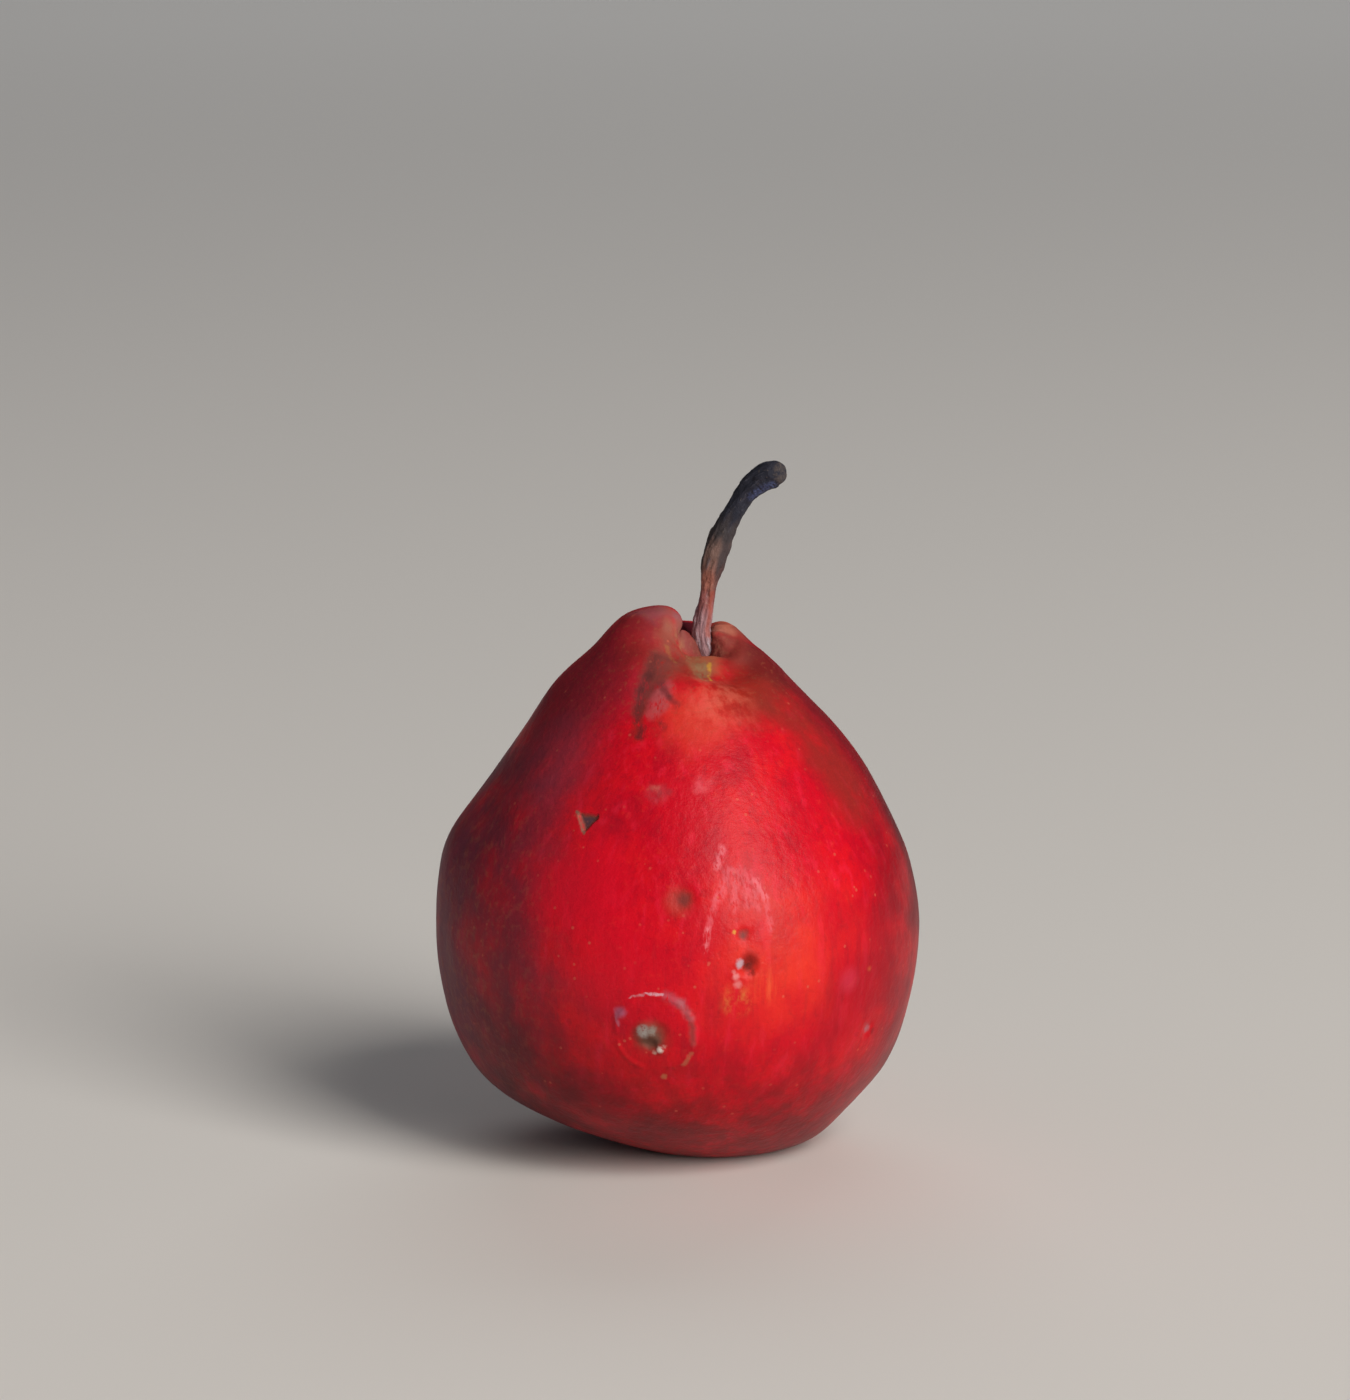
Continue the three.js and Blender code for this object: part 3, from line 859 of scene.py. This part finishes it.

# %% [markdown]
# Round the crown the colour changes within a thumb's width: pale and brown edges on the lobes, tan
# and olive where the front lip touches the stem, a brown shoulder on the right that also darkens the
# right rim as painted shade. Some zones are painted light and shade: light on the front of the neck,
# shade on the left, pale skin painted where the stem and the right lobe shade the hollow, highlights
# on the left lobe's inner edge and under the front lip, and shade on the hollow's back wall. These
# are loose zones with shaken edges. Russet, the fine cork that pears grow wherever rain lies, fills
# the hollow and the basin underneath and takes the gloss away there. It also lines the furrow, which
# forks below the crown like a twig, with pinker skin in its fork.

# %% Skin: lobes and lip
shaky = skin.wobble(1.6, 1.5, seed=4)
soft_edge = skin.wobble(5, 5, seed=8)
CROWN_ZONES = {  # middle, inner, outer, colour, strength
    "lit front of the neck": ((3, -20, 69.5), 2, 9, "d4442f", 0.5),
    "shaded left of the neck": ((-13, -9, 73), 5, 14, "6c1e2a", 0.7),
    # painted shade and painted sheen on the left shoulder
    "greyed left shoulder": ((-19.5, -16, 62), 3, 12, "6e3646", 0.45),
    "left lobe": ((-4, -3, 81.5), 2, 8, "7a2a2c", 0.65),
    "between lobe and furrow": ((-5, -9, 76.5), 1, 6, "7c2420", 0.7),
    "brown front shoulder": ((10, -13.5, 71.3), 2, 8, "8c2c18", 0.7),
    "brown right of the lip": ((13, -6, 73.5), 2, 7, "862a1a", 0.65),
    "front of the right lobe": ((9.2, -3.5, 76.5), 2, 5.5, "843c32", 0.75),
    "left half of the lip": ((1, -10.5, 75), 1.5, 6, "803020", 0.7),
    "tan lip": ((4, -7, 75.5), 1.5, 5, "9a6444", 0.75),
    # partly pale skin, partly painted light where the right lobe faces the stem
    "pale right lobe": ((7.4, 2.4, 79.4), 1.4, 4.4, "c06a50", 0.7),
    # painted light on the side of the right lobe that faces the stem
    "inner side of the right lobe": ((6.6, 0.6, 79), 0.8, 2.6, "d08068", 0.75),
    "crest of the right lobe": ((9.2, 1, 79), 0.8, 2.4, "8c4840", 0.55),
    # painted light beside the stem, where the stem shades the skin
    "pale edge beside the stem": ((5.9, 0.4, 78.2), 0.4, 1.8, "f0b8a4", 0.7),
    # painted light at the stem's foot, in the crevice's shade
    "grey at the stem's foot": ((6, -0.4, 75.6), 0.6, 2.2, "c09a98", 0.7),
    "tan front of the left lobe": ((-1.7, -5.2, 79.3), 0.8, 3.2, "8a5040", 0.65),
    "far left of the left lobe": ((-6, -5, 81.5), 1, 5, "6c2226", 0.5),
    "crest of the left lobe, pinker": ((-1.4, -2.2, 82), 0.8, 3.2, "9a5450", 0.7),
    "crest of the left lobe, greyer": ((-4.4, -2.4, 82.6), 1, 4, "8a545a", 0.5),
    # a painted highlight along the inner edge of the left lobe
    "inner edge of the left lobe": ((0.8, -1.6, 80.6), 0.8, 2.6, "8a5c5e", 0.75),
    "left wall of the hollow": ((1.4, -2, 77.6), 0.8, 3.4, "8a4644", 0.8),
    "fold at that wall": ((0.2, -2.6, 79), 0.6, 2.2, "905850", 0.8),
    "foot of the fold": ((1, -4.2, 76.6), 0.6, 2.4, "8c4a3c", 0.75),
    "tan above the furrow": ((-1.4, -4.4, 79.2), 0.6, 2.4, "946050", 0.55),
}
for middle, inner, outer, colour, strength in CROWN_ZONES.values():
    skin.wash(skin.spot(middle, inner, outer, soft_edge), colour, 0.62, strength)
print("round the crown:", ", ".join(CROWN_ZONES))

# %% Skin: shoulders and freckles
# a brown shoulder, which also darkens the right rim as painted shade
right_shoulder = skin.stroke((14, -10, 71), (26, -13, 57), 2, 9, soft_edge)
skin.patchy(right_shoulder, mottle, 0.75, 0.4, "7e2a22", strength=0.7)
backward = skin.fade(skin.add("SeparateXYZ", soft_edge, output="Y"), -11, -3)
far_shoulder = skin.both(backward, skin.fade(sideways, 5, 15), skin.fade(height_up, 24, 52))
skin.wash(far_shoulder, "44141a", 0.55, strength=0.72)
neck, freckles = skin.fade(height_up, 62, 76), skin.cloud(0.8, 3, seed=13, rough=0.6)
skin.patchy(neck, freckles, 0.55, 0.68, "965238", 0.65, 0.3)
print("shoulders:", len(skin.tree.nodes), "nodes so far")

# %% Skin: the hollow
russet = skin.cloud(0.9, 4, seed=5, rough=0.7)
hollow = skin.spot((4.4, 0.6, 75.8), 2.8, 6.2, shaky)
# painted shade on the back wall of the hollow, behind the stem
painted_shade_back_wall = skin.spot((1.2, 4.2, 79.4), 1.8, 4, shaky)
skin.wash(hollow, "7c4038", 0.74, 0.9)
skin.patchy(hollow, russet, 0.48, 0.68, "94604c", 0.8, 0.5)
skin.wash(painted_shade_back_wall, "3c1420", 0.75, 0.9)
print("hollow:", len(skin.tree.nodes), "nodes so far")

# %% Skin: the furrow
combed = skin.cloud(0.7, 4, (1, 2.5, 4), seed=15, rough=0.65)
tight = skin.wobble(1.1, 0.8, seed=16)
WIDE = 2  # an outer reach past this makes a stain rather than a line, and it breaks up more softly
FURROW = {  # start, end, inner, outer, colour, strength
    "stain, top": ((-0.6, -7, 76.8), (-2.6, -13.4, 74.8), 1, 3.8, "8a4a3e", 0.65),
    "stain, middle": ((-2.4, -10, 76.4), (-4.6, -15.6, 72.4), 0.6, 3, "743836", 0.6),
    "stain, foot": ((-4.6, -15.6, 72.4), (-5.6, -17.6, 70), 0.3, 2.2, "723a36", 0.6),
    "tail": ((-5.6, -17.6, 70), (-5.9, -21, 66.8), 0.2, 1.6, "6a2a20", 0.5),
    "pink skin in the fork": ((-2.9, -16.6, 72.2), (-3.7, -18.8, 69.8), 0.5, 1.8, "c4585c", 0.5),
    "pale skin in the fork": ((-1.8, -15.6, 72.9), (-2.4, -18, 70.6), 0.4, 2, "b06064", 0.45),
    "left branch, top": ((-3.2, -10, 77), (-4.3, -13.2, 74.5), 0.1, 1.5, "5a2826", 0.55),
    "left branch, middle": ((-4.3, -13.2, 74.5), (-5.5, -15.3, 72.4), 0.1, 1.3, "522426", 0.6),
    "left branch, foot": ((-5.5, -15.3, 72.4), (-6.1, -19.1, 68.7), 0.1, 1.1, "582428", 0.55),
    "right branch, top": ((-2.5, -15.2, 73.7), (-1.3, -17.2, 72), 0.1, 1, "562628", 0.6),
    "right branch, foot": ((-1.3, -17.2, 72), (-0.1, -18.3, 70.9), 0.1, 0.9, "562628", 0.55),
    "speck under the tail": ((-5.3, -20.2, 67.8), (-5.6, -21.2, 66.6), 0.2, 1.1, "4a1c20", 0.6),
    "speck under the fork": ((-2.5, -20.2, 68.5), (-2, -20.8, 67.9), 0.1, 0.8, "6a2020", 0.5),
    "tan line along the top": ((-1.6, -6.6, 77.6), (-0.4, -9.6, 75.8), 0.1, 0.7, "a0683c", 0.5),
}
for start, end, inner, outer, colour, strength in FURROW.values():
    bare, full = (0.2, 0.54) if outer > WIDE else (0.3, 0.5)
    mark = skin.stroke(start, end, inner, outer, tight)
    skin.patchy(mark, combed, bare, full, colour, 0.7, strength)
print("along the furrow:", ", ".join(FURROW))

# %% Skin: the front lip and the basin
tan_edge = skin.stroke((0.4, -3.6, 77.4), (2.9, -8.1, 75.3), 0.6, 2, soft_edge)
skin.patchy(tan_edge, combed, 0.46, 0.62, "a8805a", 0.7, 0.45)
# a painted highlight, pink, under the front lip
painted_highlight_under_lip = skin.spot((6, -16.3, 71.4), 1, 7.5, soft_edge)
skin.patchy(painted_highlight_under_lip, blush, 0.36, 0.62, "e0745e", strength=0.34)
olive = skin.stroke((3.2, -8.2, 75.2), (3.7, -12.6, 73.9), 0.2, 2.3, shaky)
skin.patchy(olive, combed, 0.28, 0.6, "927050", 0.7, 0.85)
yellow_line = skin.stroke((4.7, -7.6, 75.3), (4.95, -12.6, 73.6), 0.1, 0.45, tight)
skin.wash(yellow_line, "c48e38", 0.6, 0.85)
basin = skin.spot((5.8, 0, 5), 5, 9.5, shaky)
skin.wash(basin, "6a4a2c", 0.75, 0.85)
skin.patchy(basin, russet, 0.45, 0.65, "a8824f", 0.8, 0.5)
print("crown and basin:", len(skin.tree.nodes), "nodes so far")

# %% [markdown]
# Each scar gets its own colours, laid on where its dents are: pale cork on what stands proud, dark
# brown in what is sunk, deepened in the pit as painted shade, and a halo where the red has faded
# round it. The nick's mask is the part of the skin that lies inside all three of its sides.

# %% Skin: scuffs and faded patches
ragged = skin.cloud(2, 5, (1, 1, 1.5), seed=18, rough=0.7)
SHOULDER_SCUFFS = {  # middle, inner, outer, colour, strength
    "pink scuff": ((3.7, -26.4, 60.6), 0.5, 2.4, "e2606a", 0.26),
    "its lower rim": ((3.3, -26.7, 60.1), 0.2, 1.3, "e67078", 0.24),
    "brown scuff": ((-3.1, -27.3, 59.3), 0.5, 2.4, "a8404a", 0.5),
    "its pale top": ((-3.4, -26.8, 59.9), 0.1, 1, "c4665a", 0.55),
    "its dark middle": ((-2.7, -27.3, 59.3), 0.1, 1, "8a3438", 0.5),
    "its wisp": ((-1.3, -27.2, 59.6), 0.1, 0.9, "8e3038", 0.4),
}
for middle, inner, outer, colour, strength in SHOULDER_SCUFFS.values():
    rubbed = skin.spot(middle, inner, outer, shaky)
    skin.patchy(rubbed, ragged, 0.3, 0.55, colour, strength=strength)
rusty = skin.spot((8.6, -35.6, 30), 0.6, 3.4, shaky)
skin.patchy(rusty, ragged, 0.42, 0.68, "d0783c", 0.55, 0.7)
faded = skin.spot((13.2, -34.4, 32), 0.6, 4, shaky)
skin.patchy(faded, blush, 0.4, 0.7, "e87038", strength=0.4)
print("on the shoulder:", ", ".join(SHOULDER_SCUFFS))

# %% Skin: cork, dimple, pit and bruise
fine = skin.wobble(0.7, 0.6, seed=9)
crumbly = skin.fade(skin.cloud(0.8, 4, seed=20, rough=0.65), 0.26, 0.56)
CORKY = 0.75  # a spot as rough as this is cork, and crumbles
SCAR_SPOTS = {  # middle, inner, outer, colour, roughness, strength
    "red skin in the ring": ((-3.7, -35.6, 24.4), 1.2, 3.9, "8a2a22", 0.55, 0.6),
    "brown skin round the cork": ((-4.2, -35.6, 24.8), 1, 3.1, "70483a", 0.65, 0.75),
    "dark edge of the cork": ((-3.9, -35.6, 24), 0.8, 2, "5a4034", 0.7, 0.8),
    "cork": ((-5.0, -35.7, 25.5), 0.5, 1.4, "9a948e", 0.75, 0.9),
    "cork, right half": ((-3.8, -35.7, 25.6), 0.3, 1.1, "867f76", 0.75, 0.85),
    "pale crumb": ((-2.6, -35.4, 22.6), 0.2, 0.7, "d8c9bf", 0.75, 0.9),
    "crumb beside it": ((-1.9, -35.4, 23.2), 0.1, 0.5, "c3a79c", 0.75, 0.8),
    "crumb under the cork": ((-3.4, -35.2, 22.1), 0.1, 0.5, "b99a8c", 0.75, 0.8),
    "tan speck under the ring": ((-2.0, -34.1, 18.2), 0.1, 0.7, "b06a48", 0.7, 0.75),
    "violet patch on the ring": ((-8.4, -35.6, 28.3), 0.3, 1.3, "93607c", 0.6, 0.6),
    "halo of the dimple": ((0.2, -35.2, 44.7), 1, 3.2, "a03420", 0.55, 0.5),
    "dimple": ((0.9, -35.1, 45.1), 0.4, 1.9, "66302c", 0.65, 0.75),
    "upper spot": ((9.7, -35.1, 39.8), 0.3, 1.2, "6b4440", 0.65, 0.85),
    "yellow speck beside it": ((8.3, -35.4, 40.2), 0.1, 0.5, "d9a044", 0.6, 0.8),
    "halo of the pit": ((10.6, -35.3, 36), 0.4, 2.1, "701a14", 0.7, 0.7),
    # the pit's dark brown is partly painted shade in its hollow
    "pit": ((10.3, -35.4, 35.1), 0.3, 1.5, "3c1610", 0.75, 0.85),
    "lower edge of the pit": ((10.8, -35.2, 34.2), 0.2, 0.9, "4a1812", 0.75, 0.7),
    "bead beside the pit": ((9.2, -35.7, 35.5), 0.4, 1, "b59aa4", 0.7, 0.9),
    "bead under it": ((8.5, -36, 33.7), 0.2, 0.8, "dc8c8c", 0.6, 0.7),
    "lowest bead": ((8.8, -35.9, 32.5), 0.2, 0.9, "d88484", 0.6, 0.6),
    "small bead": ((8.2, -36, 34.4), 0.1, 0.5, "d88484", 0.6, 0.5),
    "bruise": ((28.4, -21.2, 22.3), 0.3, 1.1, "9a6a72", 0.65, 0.75),
    "dark edge of the bruise": ((29.3, -20.2, 21.6), 0.2, 0.9, "5a1a20", 0.65, 0.6),
    "blush above the bruise": ((25.5, -26.7, 31), 0.3, 3, "d0405a", 0.5, 0.3),
    "tan speck above the bruise": ((28.6, -23.4, 32), 0.1, 0.7, "c86a3a", 0.5, 0.4),
}
for middle, inner, outer, colour, rough, strength in SCAR_SPOTS.values():
    patch = skin.spot(middle, inner, outer, fine)
    skin.wash(skin.both(patch, crumbly) if rough >= CORKY else patch, colour, rough, strength)
print("spots:", ", ".join(SCAR_SPOTS))

# %% Skin: the ring, and a painted highlight in pale streaks
streaks_for_scar_and_highlight = skin.cloud(0.5, 3, (1, 1, 4), seed=12, rough=0.6)
RING_ARCS = {  # start, end, inner, outer, colour, strength
    "top left": ((-7.2, -36.2, 30.6), (-4.6, -36.6, 31.3), 0.03, 0.3, "cfa4b0", 0.55),
    "top": ((-4.6, -36.6, 31.3), (-2.2, -36.8, 31.2), 0.05, 0.32, "d8b4c0", 0.65),
    "top right": ((-1.6, -36.8, 31), (0.4, -36.7, 29.9), 0.1, 1.3, "a45e6e", 0.5),
    "right": ((0.4, -36.7, 29.9), (1.9, -36.4, 27.6), 0.1, 1.1, "a8666c", 0.55),
    "lower right": ((2.1, -36.2, 26.6), (2.3, -35.7, 23.6), 0.1, 0.8, "944e4a", 0.5),
    "foot": ((2, -35.3, 22), (1, -34.9, 20.2), 0.1, 0.6, "a06a4c", 0.5),
    "left": ((-9.3, -35.6, 28.6), (-8.6, -35.3, 26.2), 0.05, 0.4, "a86a80", 0.45),
}
# a painted highlight on the front, broken into pale streaks
PAINTED_HIGHLIGHT_STREAKS = {  # the same
    "upper left wisp": ((6.5, -31.2, 51.8), (5.8, -32.6, 49.4), 0.1, 1.0, "f0909a", 0.4),
    "left edge, top": ((7.4, -32.6, 48.9), (6.2, -34.5, 45.3), 0.1, 1.2, "ea7884", 0.35),
    "left edge, middle": ((5.7, -34.5, 45.3), (4.4, -35.9, 40.8), 0.1, 0.8, "ea7884", 0.32),
    "left edge, foot": ((4.4, -35.9, 40.8), (4, -36.5, 37.8), 0.1, 0.7, "f0909a", 0.4),
    "right edge, top": ((11.5, -32.2, 47.2), (12.8, -32.7, 44.9), 0.1, 0.9, "f0909a", 0.4),
    "right edge, foot": ((12.8, -32.7, 44.9), (13.7, -33.7, 40.3), 0.1, 0.8, "ea7884", 0.3),
    "middle of the fan": ((9.6, -32.4, 49.6), (10.4, -34.2, 44), 0.1, 1.2, "ee828c", 0.35),
    "left of the middle": ((8.6, -32.6, 48.8), (8.2, -34.5, 43.6), 0.1, 1.1, "ee828c", 0.3),
    "right of the middle": ((10.6, -32.2, 48.6), (11.8, -33.8, 43.4), 0.1, 1, "ee828c", 0.3),
}
for strokes, bare, full in ((RING_ARCS, 0.26, 0.46), (PAINTED_HIGHLIGHT_STREAKS, 0.38, 0.56)):
    for start, end, inner, outer, colour, strength in strokes.values():
        mark = skin.stroke(start, end, inner, outer, fine)
        skin.patchy(mark, streaks_for_scar_and_highlight, bare, full, colour, 0.6, strength)
print(len(RING_ARCS), "arcs of the ring and", len(PAINTED_HIGHLIGHT_STREAKS), "pale streaks")


# %% Skin: the nick
def inside_nick(margin, softness):
    """A mask of what lies further in than a margin from all three sides of the nick."""
    sides = []
    for corner, inward in nick_sides():
        from_corner = skin.vector("SUBTRACT", fine, tuple(corner / MM))
        depth = skin.vector("DOT_PRODUCT", from_corner, tuple(inward), output=1)
        sides.append(skin.fade(depth, margin - softness, margin + softness))
    return skin.both(*sides, skin.spot(NICK_MIDDLE, 2.4, 2.8))


lit_side = skin.stroke(*(tuple(c / MM) for c in NICK[:2]), 0.1, 0.5, fine)
skin.wash(inside_nick(0.12, 0.28), "7c5044", 0.7, 0.85)
skin.wash(lit_side, "7e6050", 0.7, 0.85)
skin.wash(inside_nick(0.42, 0.26), "4f363f", 0.75, 0.92)
print("scars:", len(skin.tree.nodes), "nodes so far")

# %% [markdown]
# Pores are pale dots a couple of millimetres apart, which a Voronoi texture places as evenly and as
# loosely as a fruit does. What the hand would feel, a faint swell along the fruit and rough russet
# in the hollow, is too low to model and goes into a bump.

# %% Skin: pores and the feel of it
PORES_PER_MM = 0.42
SKIN_RELIEF = 0.00012  # metres
dots = skin.add(
    "TexVoronoi", skin.add("Mapping", skin.place, Scale=(PORES_PER_MM,) * 3), Scale=1, Randomness=1
)
skin.patchy(skin.fade(dots, 0.13, 0.07), mottle, 0.4, 0.6, "cf6a52", 0.6, 0.4)
swell = skin.maths("MULTIPLY", skin.cloud(2.6, 3, (1, 1, 3), seed=6), 0.8)
crust = skin.maths("MULTIPLY", skin.both(hollow, russet), 2)
feel = skin.maths("ADD", skin.maths("ADD", swell, grain), crust)
fruit.data.materials.append(skin.close(feel, SKIN_RELIEF))

# %% [markdown]
# ## Bark and dried leaf
# The stem's colours change along it and never round it, and its grain runs with it, so its finish
# reads the places that the points had while the stem stood upright. They were kept in an attribute
# for this. It is pink-grey where it leaves the flesh, red-brown at the waist and almost black
# toward the knob, where the bark has died.

# %% Bark
BARK_RELIEF = 0.0003  # metres
bark = Finish("stem bark", "9c767a", 0.78, attribute="upright", Specular_IOR_Level=0.4)
across, up_stem = (bark.add("SeparateXYZ", bark.place, output=axis) for axis in ("X", "Z"))
ridges = bark.cloud(0.7, 4, (1, 1, 7), rough=0.65)
flecks = bark.cloud(0.5, 3, seed=2, rough=0.7)
climb = bark.maths("ADD", up_stem, bark.maths("MULTIPLY", bark.cloud(1.4, 3, (1, 1, 4), seed=1), 7))
BARK_BANDS = {  # from and to in mm up the stem, colour, strength
    "red-brown above the foot": (15, 18, "8a4a44", 0.9),
    "tan waist": (18.5, 20.5, "9a6250", 0.8),
    "grey-brown": (21.5, 24.5, "6e5a52", 0.85),
    "black": (25, 29, "343033", 0.95),
    # black bark, its blue tint partly a painted reflection
    "blue-black to the knob": (29.5, 32.5, "1e202e", 0.95),
}
for start, end, colour, strength in BARK_BANDS.values():
    bark.wash(bark.fade(climb, start, end), colour, strength=strength)
print("up the stem:", ", ".join(BARK_BANDS))

# %% Bark: ridges, flakes and the cut end
RIDGES = {  # bare and full height up the stem, bare and full level of the ridges, then the wash
    "pale ridges at the foot": (17, 12, 0.52, 0.66, "b6a8b0", 0.8, 0.75),
    "red between the ridges": (26, 12, 0.48, 0.34, "4c2a30", 0.8, 0.55),
    "grey ridges above": (14, 20, 0.56, 0.7, "5c5a66", 0.7, 0.5),
}
for low, high, bare, full, colour, rough, strength in RIDGES.values():
    bark.patchy(bark.fade(up_stem, low, high), ridges, bare, full, colour, rough, strength)
bark.wash(bark.fade(flecks, 0.64, 0.74), "9a8a78", 0.8, 0.4)
# darker on the two sides of the stem, from the waist up to the black
sides = bark.fade(bark.maths("ABSOLUTE", across), 0.8, 1.4)
darker_stem_sides = bark.both(sides, bark.fade(climb, 17, 19), bark.fade(up_stem, 27, 22))
bark.wash(darker_stem_sides, "2c282e", strength=0.8)
bark.wash(bark.stroke((1.3, -0.5, 9), (1.2, -0.6, 15.5), 0.2, 0.9), "9c4634", strength=0.7)
# a painted reflection: a blue streak under the knob
painted_blue_reflection = bark.stroke((1.6, -1, 32.6), (1.9, -1.1, 37.5), 0.4, 1.3)
bark.patchy(painted_blue_reflection, flecks, 0.35, 0.6, "4c5884", 0.6, 0.65)
cut_end = bark.fade(up_stem, STEM_LENGTH / MM - 0.6, STEM_LENGTH / MM + 0.1)
bark.patchy(cut_end, flecks, 0.36, 0.62, "5a4f48", 0.9, 0.65)
relief = bark.maths("ADD", ridges, bark.maths("MULTIPLY", flecks, 0.6))
stem.data.materials.append(bark.close(relief, BARK_RELIEF))

# %% [markdown]
# The calyx is dead leaf: brown, with darker blotches, pale ridges where its fibres stand out and
# black between them. It has hardly any gloss, and is seen only when the pear is turned over.

# %% Dried leaf
LEAF_RELIEF = 0.0003  # metres
dry = Finish("dried calyx", "4f3828", 0.9, Specular_IOR_Level=0.3)
fibres = dry.cloud(0.5, 4, (1, 1, 3), rough=0.7)
blotches = dry.cloud(1.6, 3, seed=1)
dry.wash(dry.fade(blotches, 0.45, 0.65), "2b2019", strength=0.8)
dry.wash(dry.fade(fibres, 0.55, 0.7), "8c6f4c", strength=0.6)
dry.wash(dry.fade(fibres, 0.42, 0.3), "1f1713", strength=0.7)
calyx.data.materials.append(dry.close(fibres, LEAF_RELIEF))

# %% [markdown]
# ## What each piece stands for
# Nothing in a pear moves, so all three pieces ride on its one body, root. Each takes the place of
# the imported node that it was made round, which is hidden.

# %% Ride and replace
for piece, node, slot in (
    (fruit, "fruit", "skin"), (stem, "stem", "stem_bark"), (calyx, "calyx", "dried_calyx"),
):
    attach(piece, "root")
    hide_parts(node)
    print(piece.name, "stands for", node, "and wears", slot)

# %% [markdown]
# ## Floor, light and camera
# The floor is pale and reaches past every edge of the view, so it shows the pear's shadow and
# throws some light back on its underside. One tall soft light stands like a window, in front and
# to the right, and models the whole form. A weak cool one keeps the left flank from going black,
# and a wide one behind lights the floor and the crown, but is kept out of reflections, where it
# would grey the red. A single sun would be simpler, but its hard shadow edge hides the pear's own
# soft turn.

# %% Floor and sky
FLOOR_SIZE = 24  # metres
SKY, SKY_STRENGTH = (0.8, 0.85, 0.95, 1), 0.06

bpy.ops.mesh.primitive_plane_add(size=FLOOR_SIZE, location=(0, 0, 0))
floor = bpy.context.active_object
floor.name = "floor"
floor.data.materials.append(Finish("pale floor", "e2ded8", 0.9).close())
floor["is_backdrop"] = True

world = bpy.data.worlds.new("studio")
bpy.context.scene.world = world
world.use_nodes = True
background = world.node_tree.nodes["Background"]
background.inputs["Color"].default_value = SKY
background.inputs["Strength"].default_value = SKY_STRENGTH
print("the floor is", FLOOR_SIZE, "m wide and the sky's strength", SKY_STRENGTH)

# %% Soft lights
LIT_PLACE = Vector((0, 0, 0.045))  # all lights face the middle of the pear


def softbox(name, towards, distance, size, watts, colour, gloss=True):
    """A rectangular light in a direction from the pear and facing it, in metres."""
    bpy.ops.object.light_add(type="AREA")
    lamp = bpy.context.active_object
    lamp.name = name
    lamp.data.shape = "RECTANGLE"
    lamp.data.size, lamp.data.size_y = size
    lamp.data.energy = watts
    lamp.data.color = colour
    lamp.visible_glossy = gloss
    out = Vector(towards).normalized()
    lamp.location = LIT_PLACE + out * distance
    lamp.rotation_euler = out.to_track_quat("Z", "Y").to_euler()
    print(name, "stands", distance, "m off with", watts, "W")


softbox("window", (0.56, -0.66, 0.48), 3, (1.5, 2.6), 112, (1, 0.96, 0.92))
softbox("left fill", (-1, -0.1, 0.4), 3, (2, 2), 2, (0.75, 0.8, 1))
softbox("back fill", (0.1, 0.84, 0.6), 6, (5, 3), 85, (0.95, 0.97, 1), gloss=False)

# %% [markdown]
# A long lens from arm's length keeps the pear's outline nearly as it is when measured. It looks down
# by ten degrees, far enough to see over the front lip into the hollow. The Standard view shows
# each colour as it was mixed, where a filmic one would wash out the reds.

# %% Camera
CAMERA_PLACE = (-0.381, -782.518, 206.829)  # mm
LOOKS_DOWN = 10.034  # degrees
LENS, SENSOR = 134.826, 36  # mm
NEAR, FAR = 0.05, 40  # metres

camera_data = bpy.data.cameras.new("camera")
camera = bpy.data.objects.new("camera", camera_data)
bpy.context.scene.collection.objects.link(camera)
camera_data.sensor_width = SENSOR
camera_data.lens = LENS
camera_data.clip_start, camera_data.clip_end = NEAR, FAR
camera.location = tuple(c * MM for c in CAMERA_PLACE)
camera.rotation_euler = (math.radians(90 - LOOKS_DOWN), 0, 0)
bpy.context.scene.camera = camera
bpy.context.scene.view_settings.view_transform = "Standard"
print("the camera is", round(camera.location.length / MM), "mm from the foot of the pear")

# %% [markdown]
# ## Measured against the imported model
# The finished pear should be as large as the imported one. Both boxes are printed.

# %% Measure both
visual_low, visual_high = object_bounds()
for name, low, high in (("packed", cad_low, cad_high), ("finished", visual_low, visual_high)):
    print(name, "box, mm:", [round(c / MM, 2) for c in (*low, *high)])
